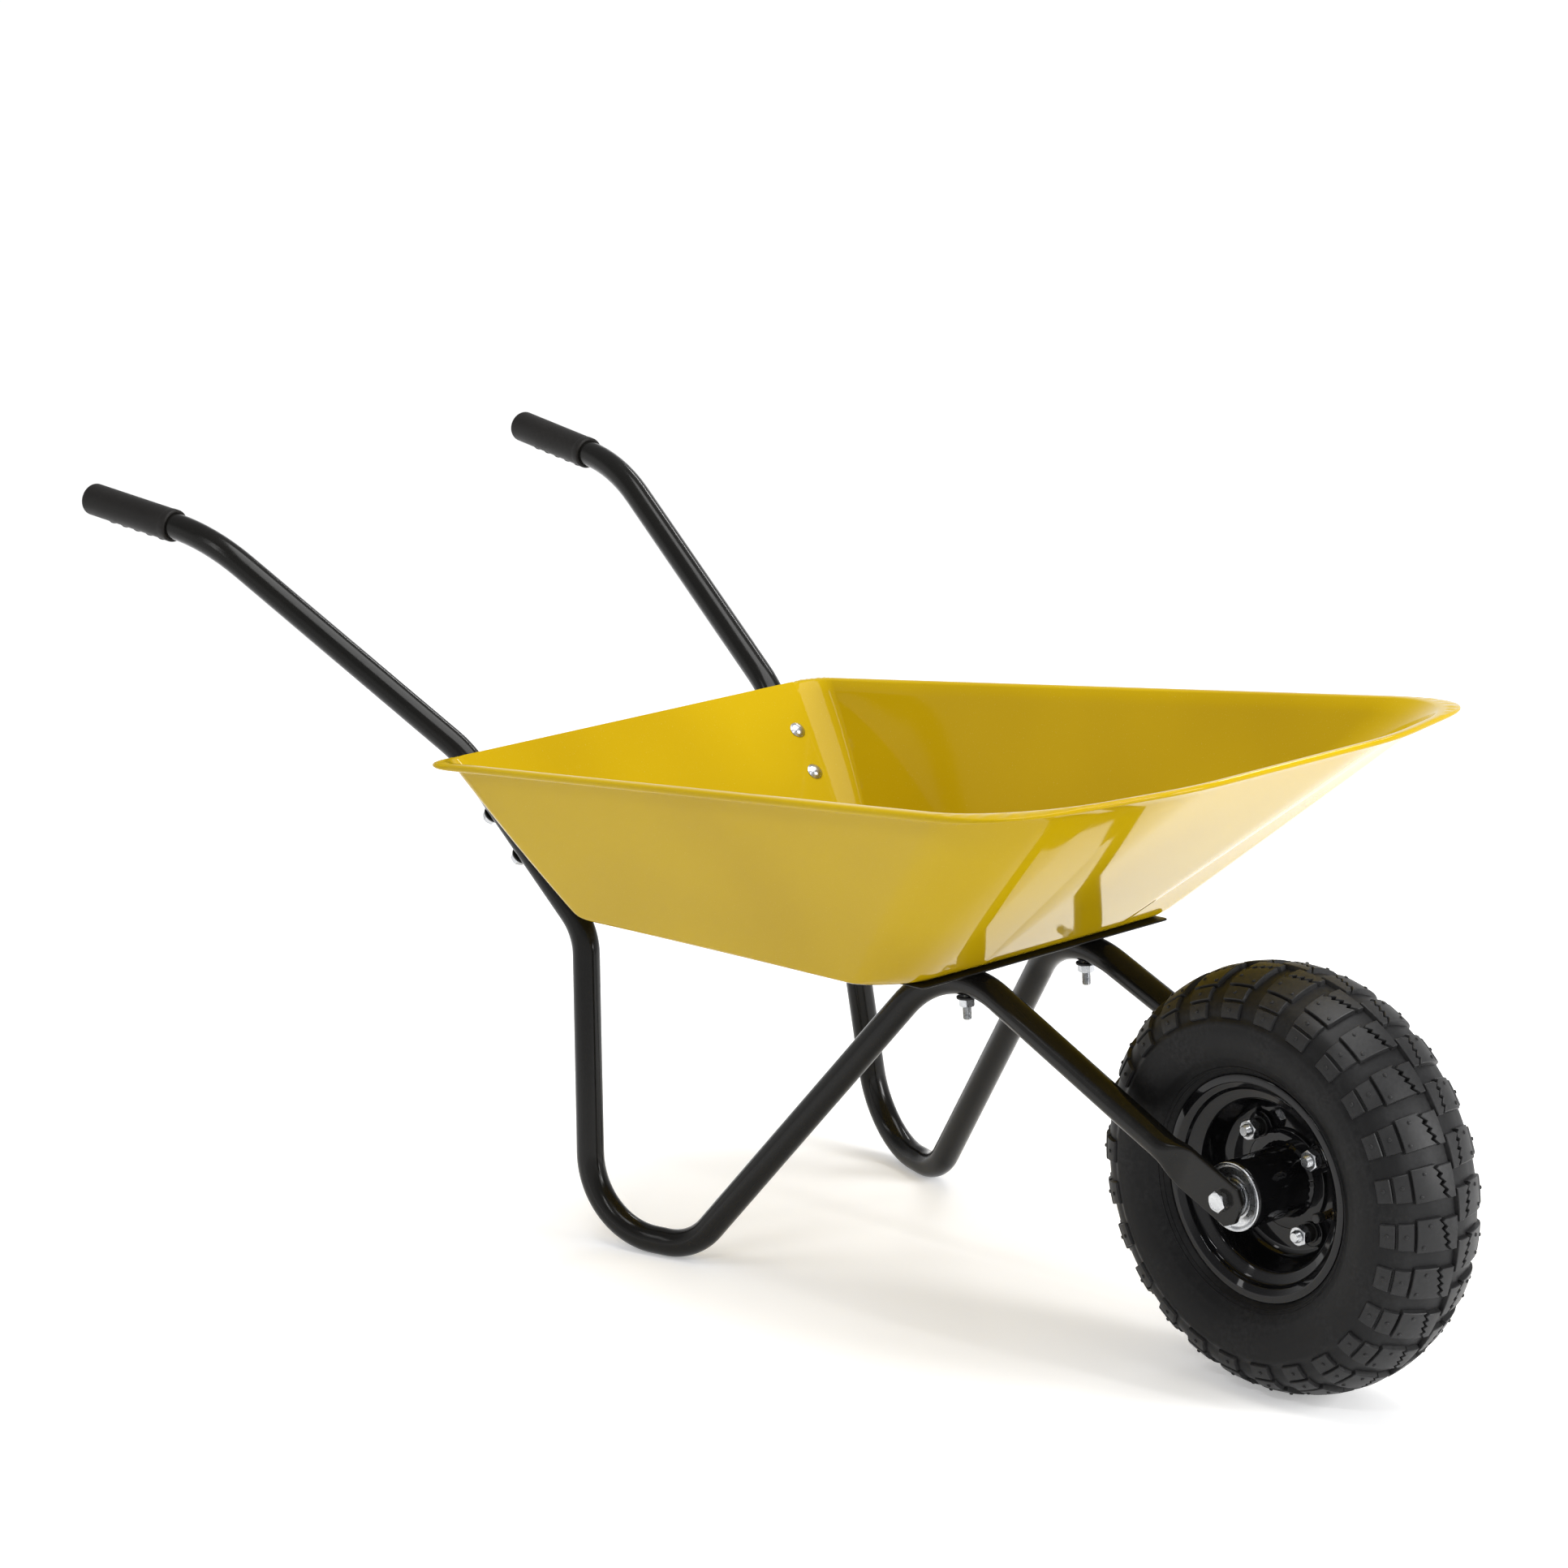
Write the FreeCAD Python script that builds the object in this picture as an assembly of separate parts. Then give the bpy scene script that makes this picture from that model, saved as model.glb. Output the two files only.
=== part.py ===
import FreeCAD, Part
import math
import os

# Garden wheelbarrow: one front wheel, two bent tubes, a pressed steel tray.
# Millimetres. +X points forward to the wheel, +Z up, +Y to the left-hand side.
# The origin is on the ground, below the middle of the whole barrow.

V = FreeCAD.Vector

# ---- driving dimensions -------------------------------------------------
AXLE_X = 561.5            # axle position along the barrow
WHEEL_R = 182.5           # tyre outside radius, and so the axle height
TYRE_HALF_W = 57.0        # half of the tyre's section width
RIM_FLANGE_R = 96.0       # outer lip of the rim
RIM_HALF_W = 43.0         # rim lip, from the wheel's middle plane
HUB_R = 29.5              # hub sleeve outside radius
HUB_HALF_L = 68.0         # hub sleeve end, from the wheel's middle plane
HUB_BOLT_R = 48.5         # bolt circle radius of rim and hub
HUB_BOLT_COUNT = 4
HUB_BOLT_START = 36.0     # degrees above forward for the first hub bolt
AXLE_R = 5.0              # axle bolt, 10 mm
FORK_Y = 80.8             # middle of the flattened fork ends
FORK_T = 5.0              # thickness of the flattened fork ends
FORK_H = 38.0             # width of the flattened fork ends

TUBE_R = 12.5             # frame tube, 25 mm outside
TUBE_WALL = 1.5
GRIP_R = 15.3
GRIP_L = 121.0
GRIP_LIP_R = 15.8
GRIP_DOME = 5.0           # rounding of the grip's closed end
GRIP_LIP_L = 9.0          # length of the raised lip at its open end
GRIP_CLEAR = 0.05         # fit of the grip on the tube

TRAY_T = 1.2              # tray sheet
TRAY_FLANGE = 13.0        # turned-out rim on the sides and the front
TRAY_LIP = 4.5            # depth of the turned-down rim
TRAY_REAR_HEM = 1.2       # flat hem on the rear wall, where the tubes pass
TUBE_TO_WALL = 13.9       # rear wall's outside to the tube's centre line
BASE_REAR_Z = 299.0
BASE_FRONT_Z = 318.3
BASE_FRONT_X = 272.7
BASE_REAR_HALF_W = 180.0
BASE_FRONT_HALF_W = 183.0
RIM_REAR_Z = 432.0
RIM_FRONT_Z = 533.0
RIM_FRONT_X = 512.0
RIM_REAR_HALF_W = 229.5
RIM_FRONT_HALF_W = 280.0
BASE_REAR_CORNER_R = 20.0
RIM_REAR_CORNER_R = 30.0
BASE_FRONT_CORNER_R = 50.0
RIM_FRONT_CORNER_R = 118.0
BASE_BOW = 2.0            # the front edge bows forward by this much
RIM_BOW = 51.0
BOW_PART = 0.43           # the bowed part ends at this share of the front's half width
BOW_R_PART = 0.8          # and is rounded by this many half widths
BASE_EDGE_R = 26.0        # rounding between the base and the walls

PLATE_T = 2.0             # cross plate under the tray's front
PLATE_FRONT_X = 281.0
PLATE_REAR_X = 226.0
PLATE_HALF_L = 150.0

REAR_BOLT_PARTS = (0.30, 0.53)   # places of the rear bolts along the tube's wall run
M8_R = 4.0
M8_HOLE_R = 4.4
M10_R = 5.0
M10_HOLE_R = 5.4
M10_AF = 16.0             # across the flats of the 10 mm heads and nuts
M10_HEAD_L = 6.4
M10_NUT_L = 8.0
HEAD_SEAT_R = 10.5        # shallow pressed seat around each bolt in the tray's floor
HEAD_SEAT_DEPTH = 0.3
REAR_BOLT_L = 41.0
FRONT_BOLT_L = 50.0

# ---- frame tube centre line, left-hand (+Y) side -------------------------
GRIP_END = V(-737.8, 264.7, 612.6)
HANDLE_BEND = V(-574.6, 250.0, 596.4)
RIM_BEND = V(-283.4, 186.4, 429.3)
LEG_TOP = V(-150.0, 158.2, 281.6)
FOOT_REAR = V(-124.2, 181.0, TUBE_R)
FOOT_FRONT = V(-16.9, 152.5, TUBE_R)
PEAK = V(229.2, 70.2, 321.6)
AXLE_END = V(AXLE_X, FORK_Y, WHEEL_R)
FLAT_START = 78.0         # the tube starts to flatten this far before the axle
FLAT_FULL = 40.0          # and is flat this far before the axle
TIP_REACH = 20.0          # the fork end's tip, beyond the axle
TIP_CORNER = 9.0          # its two cut corners
BEND_RADII = (220.0, 110.0, 60.0, 74.0, 60.0, 88.0)

SIDES = (("left", 1.0), ("right", -1.0))


def export(name, shape):
    """Write one sub-part, and say how large it is."""
    if not shape.isValid():
        print("NOT VALID:", name)
    shape.exportStep(os.path.join("parts", name + ".step"))
    box = shape.BoundBox
    print("%-24s solids %2d  volume %9.0f  x %7.1f %7.1f  y %7.1f %7.1f  z %6.1f %6.1f" % (
        name, len(shape.Solids), shape.Volume,
        box.XMin, box.XMax, box.YMin, box.YMax, box.ZMin, box.ZMax))


def unit(vector):
    return vector * (1.0 / vector.Length)


def mirrored(shape):
    """The same shape on the other side of the barrow's middle plane."""
    return shape.mirror(V(0, 0, 0), V(0, 1, 0))


def bent_path(points, radii):
    """A wire of straight runs joined by tangent arcs of the given radii."""
    edges = []
    start = points[0]
    for before, corner, after, radius in zip(points, points[1:], points[2:], radii):
        into = unit(corner - before)
        out = unit(after - corner)
        turn = math.acos(max(-1.0, min(1.0, into.dot(out))))
        reach = radius * math.tan(turn / 2)
        arc_start = corner - into * reach
        arc_end = corner + out * reach
        towards_centre = unit(out - into)
        depth = radius / math.cos(turn / 2) - radius
        arc_mid = corner + towards_centre * depth
        edges.append(Part.LineSegment(start, arc_start).toShape())
        edges.append(Part.Arc(arc_start, arc_mid, arc_end).toShape())
        start = arc_end
    edges.append(Part.LineSegment(start, points[-1]).toShape())
    return Part.Wire(edges)


def swept_round(path, radius, start, direction):
    """A round bar of one radius along a path."""
    ring = Part.Wire([Part.makeCircle(radius, start, direction)])
    return path.makePipeShell([ring], True, False)


def spun(points, start_angle=0.0):
    """Turn a closed outline of (radius, y) points about the axle."""
    corners = [V(AXLE_X + r, y, WHEEL_R) for r, y in points]
    corners.append(corners[0])
    face = Part.Face(Part.makePolygon(corners))
    solid = face.revolve(V(AXLE_X, 0, WHEEL_R), V(0, 1, 0), 360)
    if start_angle:
        solid.rotate(V(AXLE_X, 0, WHEEL_R), V(0, 1, 0), start_angle)
    return solid


def ring(inner, outer, y_low, y_high):
    """A plain ring about the axle."""
    return spun([(inner, y_low), (outer, y_low), (outer, y_high), (inner, y_high)])


def sheet_outline(points, thickness):
    """A closed outline around an open run of (radius, y) points, thickened to one side."""
    normals = []
    for (r0, y0), (r1, y1) in zip(points, points[1:]):
        length = math.hypot(r1 - r0, y1 - y0)
        normals.append((-(y1 - y0) / length, (r1 - r0) / length))
    offset = []
    for index, (r, y) in enumerate(points):
        before = normals[max(index - 1, 0)]
        after = normals[min(index, len(normals) - 1)]
        bisector = (before[0] + after[0], before[1] + after[1])
        scale = 2.0 * thickness / (bisector[0] ** 2 + bisector[1] ** 2)
        offset.append((r + bisector[0] * scale, y + bisector[1] * scale))
    return list(points) + offset[::-1]


def rod(start, direction, radius, length):
    return Part.makeCylinder(radius, length, start, direction)


def hexagon(start, direction, across_flats, length, bore=0.0):
    """A hexagonal prism, for bolt heads and nuts, with chamfered outer corners."""
    prism_face = Part.Face(Part.makePolygon([
        V(math.cos(math.radians(60 * k)), math.sin(math.radians(60 * k)), 0)
        * (across_flats / math.sqrt(3)) for k in range(7)]))
    solid = prism_face.extrude(V(0, 0, length))
    chamfer = across_flats * 0.5 * 1.155 - across_flats * 0.5
    dome = Part.makeCone(across_flats * 0.5 + length, across_flats * 0.5,
                         length, V(0, 0, 0), V(0, 0, 1))
    solid = solid.common(dome.fuse(Part.makeCylinder(across_flats, length - chamfer)))
    if bore:
        solid = solid.cut(Part.makeCylinder(bore, length * 3, V(0, 0, -length)))
    turn = FreeCAD.Rotation(V(0, 0, 1), direction)
    solid.Placement = FreeCAD.Placement(start, turn)
    return solid


def washer(start, direction, inner, outer, thickness):
    disc = rod(start, direction, outer, thickness)
    return disc.cut(rod(start, direction, inner, thickness))


def group(shapes):
    return Part.makeCompound(shapes)


# ---- bolt places on the left-hand tube ----------------------------------
WALL_RUN = LEG_TOP - RIM_BEND
WALL_OUT = unit(V(WALL_RUN.z, 0, -WALL_RUN.x))     # out of the rear wall, down and back


def rear_wall_x(z):
    """Outside of the rear wall at a height."""
    on_wall = RIM_BEND - WALL_OUT * TUBE_TO_WALL
    return on_wall.x - (z - on_wall.z) * (WALL_OUT.z / WALL_OUT.x)


BASE_SLOPE = math.atan2(BASE_FRONT_Z - BASE_REAR_Z, BASE_FRONT_X - rear_wall_x(BASE_REAR_Z))
BASE_DOWN = V(math.sin(BASE_SLOPE), 0, -math.cos(BASE_SLOPE))
BASE_ALONG = V(math.cos(BASE_SLOPE), 0, math.sin(BASE_SLOPE))


def base_z(x):
    """Height of the base's underside."""
    return BASE_FRONT_Z + (x - BASE_FRONT_X) * math.tan(BASE_SLOPE)


def peak_top():
    """Centre-line point of the peak bend whose run is parallel to the tray's base."""
    into = unit(PEAK - FOOT_FRONT)
    out = unit(AXLE_END - PEAK)
    turn = math.acos(into.dot(out))
    radius = BEND_RADII[5]
    inward = unit(out - into)
    centre = PEAK + inward * (radius / math.cos(turn / 2))
    normal = unit(into.cross(out))
    radial = unit(normal.cross(BASE_ALONG))
    if radial.z < 0:
        radial = radial * -1.0
    return centre + radial * radius


PEAK_TOP = peak_top()


def rear_bolt_centres():
    """Points on the left-hand tube's centre line where the rear bolts cross it."""
    return [RIM_BEND + WALL_RUN * part for part in REAR_BOLT_PARTS]


def flip(point):
    return V(point.x, -point.y, point.z)


def all_rear_centres():
    left = rear_bolt_centres()
    return left + [flip(point) for point in left]


def all_front_centres():
    return [PEAK_TOP, flip(PEAK_TOP)]


# ---- frame tube ----------------------------------------------------------
def frame_tube():
    """One bent tube, hollow, with its front end pressed flat and drilled."""
    last_run = unit(AXLE_END - PEAK)
    flat_start = AXLE_END - last_run * FLAT_START
    points = [GRIP_END, HANDLE_BEND, RIM_BEND, LEG_TOP, FOOT_REAR, FOOT_FRONT, PEAK, flat_start]
    path = bent_path(points, BEND_RADII)
    first_run = unit(HANDLE_BEND - GRIP_END)
    outside = swept_round(path, TUBE_R, GRIP_END, first_run)
    inside = swept_round(path, TUBE_R - TUBE_WALL, GRIP_END, first_run)
    tube = outside.cut(inside)

    flat_run = unit(V(last_run.x, 0, last_run.z))
    flat_place = AXLE_END - flat_run * FLAT_FULL
    rounds = Part.Wire([Part.makeCircle(TUBE_R, flat_start, last_run)])
    across = flat_run.cross(V(0, 1, 0))
    oval = Part.Ellipse(flat_place + across * (FORK_H / 2), flat_place + V(0, FORK_T / 2, 0), flat_place)
    ovals = Part.Wire([oval.toShape()])
    squash = Part.makeLoft([rounds, ovals], True, False)

    half = FORK_H / 2
    back = -FLAT_FULL - 1.0
    outline = [(back, -half), (TIP_REACH - TIP_CORNER, -half), (TIP_REACH, -half + TIP_CORNER),
               (TIP_REACH, half - TIP_CORNER), (TIP_REACH - TIP_CORNER, half), (back, half)]
    blade_points = [AXLE_END + flat_run * u + across * v - V(0, FORK_T / 2, 0) for u, v in outline]
    blade = Part.Face(Part.makePolygon(blade_points + [blade_points[0]])).extrude(V(0, FORK_T, 0))
    body = tube.fuse([squash, blade])
    cuts = [rod(AXLE_END - V(0, 30, 0), V(0, 1, 0), AXLE_R + 0.3, 60)]
    for centre in rear_bolt_centres():
        cuts.append(rod(centre - WALL_OUT * 30, WALL_OUT, M8_HOLE_R, 60))
    cuts.append(rod(PEAK_TOP - BASE_DOWN * 30, BASE_DOWN, M8_HOLE_R, 60))
    return body.cut(cuts)


def grip():
    """Rubber sleeve with a closed domed end and a raised lip at its open end."""
    axis = unit(HANDLE_BEND - GRIP_END)
    back = GRIP_END - axis * GRIP_DOME
    bore = TUBE_R + GRIP_CLEAR
    floor = GRIP_DOME - GRIP_CLEAR
    end = [(0.0, 0.0), (GRIP_R - GRIP_DOME, 0.0), (GRIP_R - 0.3 * GRIP_DOME, 0.3 * GRIP_DOME),
           (GRIP_R, GRIP_DOME), (GRIP_R, GRIP_L - GRIP_LIP_L), (GRIP_LIP_R, GRIP_L - 0.7 * GRIP_LIP_L),
           (GRIP_LIP_R, GRIP_L - 1.0), (GRIP_R, GRIP_L), (bore, GRIP_L), (bore, floor), (0.0, floor)]
    corners = [V(r, 0, z) for r, z in end]
    face = Part.Face(Part.makePolygon(corners + [corners[0]]))
    sleeve = face.revolve(V(0, 0, 0), V(0, 0, 1), 360)
    sleeve.Placement = FreeCAD.Placement(back, FreeCAD.Rotation(V(0, 0, 1), axis))
    return sleeve


# ---- tray ----------------------------------------------------------------
def corner_arc(corner, before, after, radius):
    """Start, middle and end of the arc that rounds one corner of an outline."""
    into = unit(corner - before)
    out = unit(after - corner)
    turn = math.acos(into.dot(out))
    reach = radius * math.tan(turn / 2)
    middle = corner + unit(out - into) * (radius / math.cos(turn / 2) - radius)
    return corner - into * reach, middle, corner + out * reach


def tray_outline(rear, front, bow, rear_r, front_r):
    """Closed wire through (x, half width, z) at the rear and the front, the front bowed out."""
    rear_x, rear_w, rear_z = rear
    front_x, front_w, front_z = front
    slope = (front_z - rear_z) / (front_x - rear_x)
    nose_x = front_x + bow
    nose_w = front_w * BOW_PART
    nose_z = front_z + bow * slope
    corners = [V(rear_x, -rear_w, rear_z), V(front_x, -front_w, front_z), V(nose_x, -nose_w, nose_z),
               V(nose_x, nose_w, nose_z), V(front_x, front_w, front_z), V(rear_x, rear_w, rear_z)]
    bow_r = front_w * BOW_R_PART
    radii = [rear_r, front_r, bow_r, bow_r, front_r, rear_r]
    arcs = []
    count = len(corners)
    for index in range(count):
        arcs.append(corner_arc(corners[index], corners[index - 1], corners[(index + 1) % count], radii[index]))
    edges = []
    for index in range(count):
        start, middle, end = arcs[index]
        following = arcs[(index + 1) % count][0]
        edges.append(Part.Arc(start, middle, end).toShape())
        edges.append(Part.LineSegment(end, following).toShape())
    return Part.Wire(edges)


def tray_section(part, inset, grow=0.0, rise=0.0, rear_grow=None):
    """Outline of the tray part of the way up (0 base, 1 rim), moved in by inset or out by grow."""
    rear_more = grow if rear_grow is None else rear_grow
    rear_z = BASE_REAR_Z + (RIM_REAR_Z - BASE_REAR_Z) * part
    front_z = BASE_FRONT_Z + (RIM_FRONT_Z - BASE_FRONT_Z) * part
    front_x = BASE_FRONT_X + (RIM_FRONT_X - BASE_FRONT_X) * part
    rear_w = BASE_REAR_HALF_W + (RIM_REAR_HALF_W - BASE_REAR_HALF_W) * part
    front_w = BASE_FRONT_HALF_W + (RIM_FRONT_HALF_W - BASE_FRONT_HALF_W) * part
    bow = BASE_BOW + (RIM_BOW - BASE_BOW) * part
    rear_r = BASE_REAR_CORNER_R + (RIM_REAR_CORNER_R - BASE_REAR_CORNER_R) * part - inset + grow
    front_r = BASE_FRONT_CORNER_R + (RIM_FRONT_CORNER_R - BASE_FRONT_CORNER_R) * part - inset + grow
    rear_x = rear_wall_x(rear_z)
    slope = (front_z - rear_z) / (front_x - rear_x)
    back_move = inset - rear_more
    front_move = grow - inset
    return tray_outline((rear_x + back_move, rear_w + front_move, rear_z + back_move * slope + rise),
                        (front_x + front_move, front_w + front_move, front_z + front_move * slope + rise),
                        bow, rear_r, front_r)


def tray_bowl(inset, rise, top_part):
    """The tray as a full block up to a part of its height, the base's edge rounded in steps."""
    sections = []
    steps = 4
    for step in range(steps):
        angle = math.radians(90.0 * step / steps)
        pull = BASE_EDGE_R * 0.55 * (1 - math.sin(angle))
        lift = BASE_EDGE_R * 0.75 * (1 - math.cos(angle))
        part = lift / (RIM_REAR_Z - BASE_REAR_Z)
        sections.append(tray_section(part, inset + pull, rise=rise))
    sections.append(tray_section(0.22, inset, rise=rise))
    sections.append(tray_section(top_part, inset, rise=rise))
    return Part.makeLoft(sections, True, True)


def lip_block(grow, rear_grow, low, high):
    """A slab level with the rim, whose rear face is parallel to the rear wall."""
    wall_slope = WALL_OUT.z / WALL_OUT.x
    lower = tray_section(1.0, 0.0, grow, low, rear_grow + low * wall_slope)
    upper = tray_section(1.0, 0.0, grow, high, rear_grow + high * wall_slope)
    return Part.makeLoft([lower, upper], True, True)


def floor_point(centre):
    """Point on the inside of the tray's floor, along a front bolt's axis."""
    height = (base_z(centre.x) + TRAY_T - centre.z) * math.cos(BASE_SLOPE)
    return centre - BASE_DOWN * height


def tray():
    outer = tray_bowl(0.0, 0.0, 1.0)
    inner = tray_bowl(TRAY_T * 0.5, TRAY_T, 1.04)
    lip = lip_block(TRAY_FLANGE, TRAY_REAR_HEM, -TRAY_LIP, 0.0)
    under = lip_block(TRAY_FLANGE - TRAY_T, 0.2, -TRAY_LIP - 1.0, -TRAY_T)
    lip_shell = lip.cut(under)
    body = outer.fuse(lip_shell).cut(inner)
    cuts = []
    for centre in all_rear_centres():
        cuts.append(rod(centre + WALL_OUT * -60, WALL_OUT, M8_HOLE_R, 60))
    for centre in all_front_centres():
        cuts.append(rod(centre + BASE_DOWN * -60, BASE_DOWN, M8_HOLE_R, 60))
        seat = floor_point(centre) + BASE_DOWN * HEAD_SEAT_DEPTH
        cuts.append(rod(seat, BASE_DOWN * -1, HEAD_SEAT_R, 5.0))
    return body.cut(cuts)


def cross_plate():
    """Flat strap across both tubes, parallel to the tray's base, with its front edge turned down."""
    top = base_z(PLATE_REAR_X) - 0.1
    length = (PLATE_FRONT_X - PLATE_REAR_X) / math.cos(BASE_SLOPE)
    origin = V(PLATE_REAR_X, 0, top)
    near = origin - V(0, PLATE_HALF_L, 0)
    face = Part.Face(Part.makePolygon([
        near, near + BASE_ALONG * length, near + BASE_ALONG * length + V(0, 2 * PLATE_HALF_L, 0),
        near + V(0, 2 * PLATE_HALF_L, 0), near]))
    strap = face.extrude(BASE_DOWN * PLATE_T)
    holes = [rod(centre + BASE_DOWN * -60, BASE_DOWN, M8_HOLE_R, 60) for centre in all_front_centres()]
    return strap.cut(holes)


# ---- tray fasteners --------------------------------------------------------
CARRIAGE_DOME_R = 10.0
CARRIAGE_DOME_SINK = 6.0
WASHER_OUT_R = 9.0
WASHER_T = 2.0
M8_NUT_AF = 13.0
M8_NUT_L = 6.8
THREAD_CLEAR = 0.02
REAR_WASHER_AT = TUBE_R + 0.1
FRONT_WASHER_AT = TUBE_R + 0.8     # the tube's underside is hollow along the peak bend


def carriage_bolt(seat, direction, length):
    """Domed head resting on a seat point, with its shank along a direction."""
    shank = rod(seat, direction, M8_R, length)
    dome = Part.makeSphere(CARRIAGE_DOME_R, seat + direction * CARRIAGE_DOME_SINK)
    cap = dome.common(rod(seat - direction * 10, direction, CARRIAGE_DOME_R, 10.0))
    return shank.fuse(cap)


def rear_bolts():
    bolts = []
    for centre in all_rear_centres():
        seat = centre - WALL_OUT * (TUBE_TO_WALL + TRAY_T + 0.3)
        bolts.append(carriage_bolt(seat, WALL_OUT, REAR_BOLT_L))
    return group(bolts)


def m8_washers(centres, direction, distance):
    return group([washer(centre + direction * distance, direction, M8_HOLE_R, WASHER_OUT_R, WASHER_T)
                  for centre in centres])


def m8_nuts(centres, direction, distance):
    return group([hexagon(centre + direction * distance, direction, M8_NUT_AF, M8_NUT_L, M8_R + THREAD_CLEAR)
                  for centre in centres])


def rear_washers():
    return m8_washers(all_rear_centres(), WALL_OUT, REAR_WASHER_AT)


def rear_nuts():
    return m8_nuts(all_rear_centres(), WALL_OUT, REAR_WASHER_AT + WASHER_T + 0.1)


def front_bolts():
    bolts = []
    for centre in all_front_centres():
        seat = floor_point(centre) + BASE_DOWN * (HEAD_SEAT_DEPTH - 0.1)
        bolts.append(carriage_bolt(seat, BASE_DOWN, FRONT_BOLT_L))
    return group(bolts)


def front_washers():
    return m8_washers(all_front_centres(), BASE_DOWN, FRONT_WASHER_AT)


def front_nuts():
    return m8_nuts(all_front_centres(), BASE_DOWN, FRONT_WASHER_AT + WASHER_T + 0.1)


# ---- axle ------------------------------------------------------------------
FORK_OUT = FORK_Y + FORK_T / 2
FORK_IN = FORK_Y - FORK_T / 2
SLEEVE_R = 9.0
COLLAR_R = 13.0
AXLE_WASHER_R = 11.0
AXLE_WASHER_T = 2.0
AXLE_TIP = 14.0           # the axle's far end, beyond the fork


def on_axle(y):
    return V(AXLE_X, y, WHEEL_R)


def axle_bolt():
    """Hex bolt through both fork ends, head on the right-hand side."""
    head = hexagon(on_axle(-FORK_OUT - 0.1), V(0, -1, 0), M10_AF, M10_HEAD_L)
    shank = rod(on_axle(-FORK_OUT - 0.2), V(0, 1, 0), AXLE_R, 2 * FORK_OUT + AXLE_TIP)
    return head.fuse(shank)


def axle_washer():
    return washer(on_axle(FORK_OUT + 0.1), V(0, 1, 0), AXLE_R + 0.3, AXLE_WASHER_R, AXLE_WASHER_T)


def axle_nut():
    return hexagon(on_axle(FORK_OUT + AXLE_WASHER_T + 0.2), V(0, 1, 0), M10_AF, M10_NUT_L, AXLE_R + THREAD_CLEAR)


def axle_sleeve():
    return ring(AXLE_R + 0.1, SLEEVE_R, -FORK_IN + 0.1, FORK_IN - 0.1)


def spacer_collars():
    gap = 0.2
    return group([ring(SLEEVE_R + 0.03, COLLAR_R, HUB_HALF_L + gap, FORK_IN - 0.2),
                  ring(SLEEVE_R + 0.03, COLLAR_R, -FORK_IN + 0.2, -HUB_HALF_L - gap)])


# ---- bearings --------------------------------------------------------------
SEAT_R = 26.5
RACE_Y = (56.2, 67.8)
BALL_R = 3.5
BALL_TRACK_R = 19.4
BALL_COUNT = 10


def both_ends(make):
    """A shape made for the left-hand end and its mirror image."""
    first = make()
    return group([first, mirrored(first)])


def bearing_inner_races():
    return both_ends(lambda: ring(SLEEVE_R + 0.03, BALL_TRACK_R - BALL_R - 0.3, *RACE_Y))


def bearing_outer_races():
    return both_ends(lambda: ring(BALL_TRACK_R + BALL_R + 0.3, SEAT_R - 0.05, *RACE_Y))


def bearing_balls():
    middle = sum(RACE_Y) / 2
    balls = []
    for side in (1, -1):
        for index in range(BALL_COUNT):
            angle = math.radians(360.0 * index / BALL_COUNT)
            place = V(AXLE_X + BALL_TRACK_R * math.cos(angle), side * middle,
                      WHEEL_R + BALL_TRACK_R * math.sin(angle))
            balls.append(Part.makeSphere(BALL_R, place))
    return group(balls)


def dust_cover():
    """Pressed ring on the end of the hub, with a raised outer lip."""
    face_y = HUB_HALF_L + 0.1
    return spun([(COLLAR_R + 1.0, face_y), (HUB_R, face_y), (HUB_R, face_y + 1.6), (HUB_R - 3.0, face_y + 2.4),
                 (HUB_R - 5.0, face_y + 1.2), (COLLAR_R + 1.0, face_y + 1.2)])


# ---- hub and rim -----------------------------------------------------------
HUB_FLANGE_Y = (2.4, 5.4)
HUB_BORE_R = 24.6
HUB_DISC_R = 43.0
HUB_LOBE_R = 13.0
SPACER_R = 9.0
SPACER_L = 8.0
HUB_BOLT_TIP = 5.0        # thread that shows beyond each hub nut


def hub_bolt_places():
    angles = [math.radians(HUB_BOLT_START + 360.0 * k / HUB_BOLT_COUNT) for k in range(HUB_BOLT_COUNT)]
    return [(HUB_BOLT_R * math.cos(angle), HUB_BOLT_R * math.sin(angle)) for angle in angles]


def hub_half():
    """Sleeve with a bearing seat, and a flange with one lobe for each bolt."""
    low, high = HUB_FLANGE_Y
    sleeve = spun([(HUB_BORE_R, low), (HUB_R, low), (HUB_R, HUB_HALF_L), (SEAT_R, HUB_HALF_L),
                   (SEAT_R, RACE_Y[0] - 0.1), (HUB_BORE_R, RACE_Y[0] - 0.1)])
    plate = rod(on_axle(low), V(0, 1, 0), HUB_DISC_R, high - low)
    holes = []
    for dx, dz in hub_bolt_places():
        lobe_place = on_axle(low) + V(dx, 0, dz)
        plate = plate.fuse(rod(lobe_place, V(0, 1, 0), HUB_LOBE_R, high - low))
        holes.append(rod(lobe_place - V(0, 1, 0), V(0, 1, 0), M10_HOLE_R, 10.0))
    plate = plate.cut(rod(on_axle(0), V(0, 1, 0), HUB_BORE_R, 20.0))
    return sleeve.fuse(plate).cut(holes)


VALVE_ANGLE = -9.0
VALVE_R = 65.5


def valve_place(y):
    angle = math.radians(VALVE_ANGLE)
    return on_axle(y) + V(VALVE_R * math.cos(angle), 0, VALVE_R * math.sin(angle))


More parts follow.
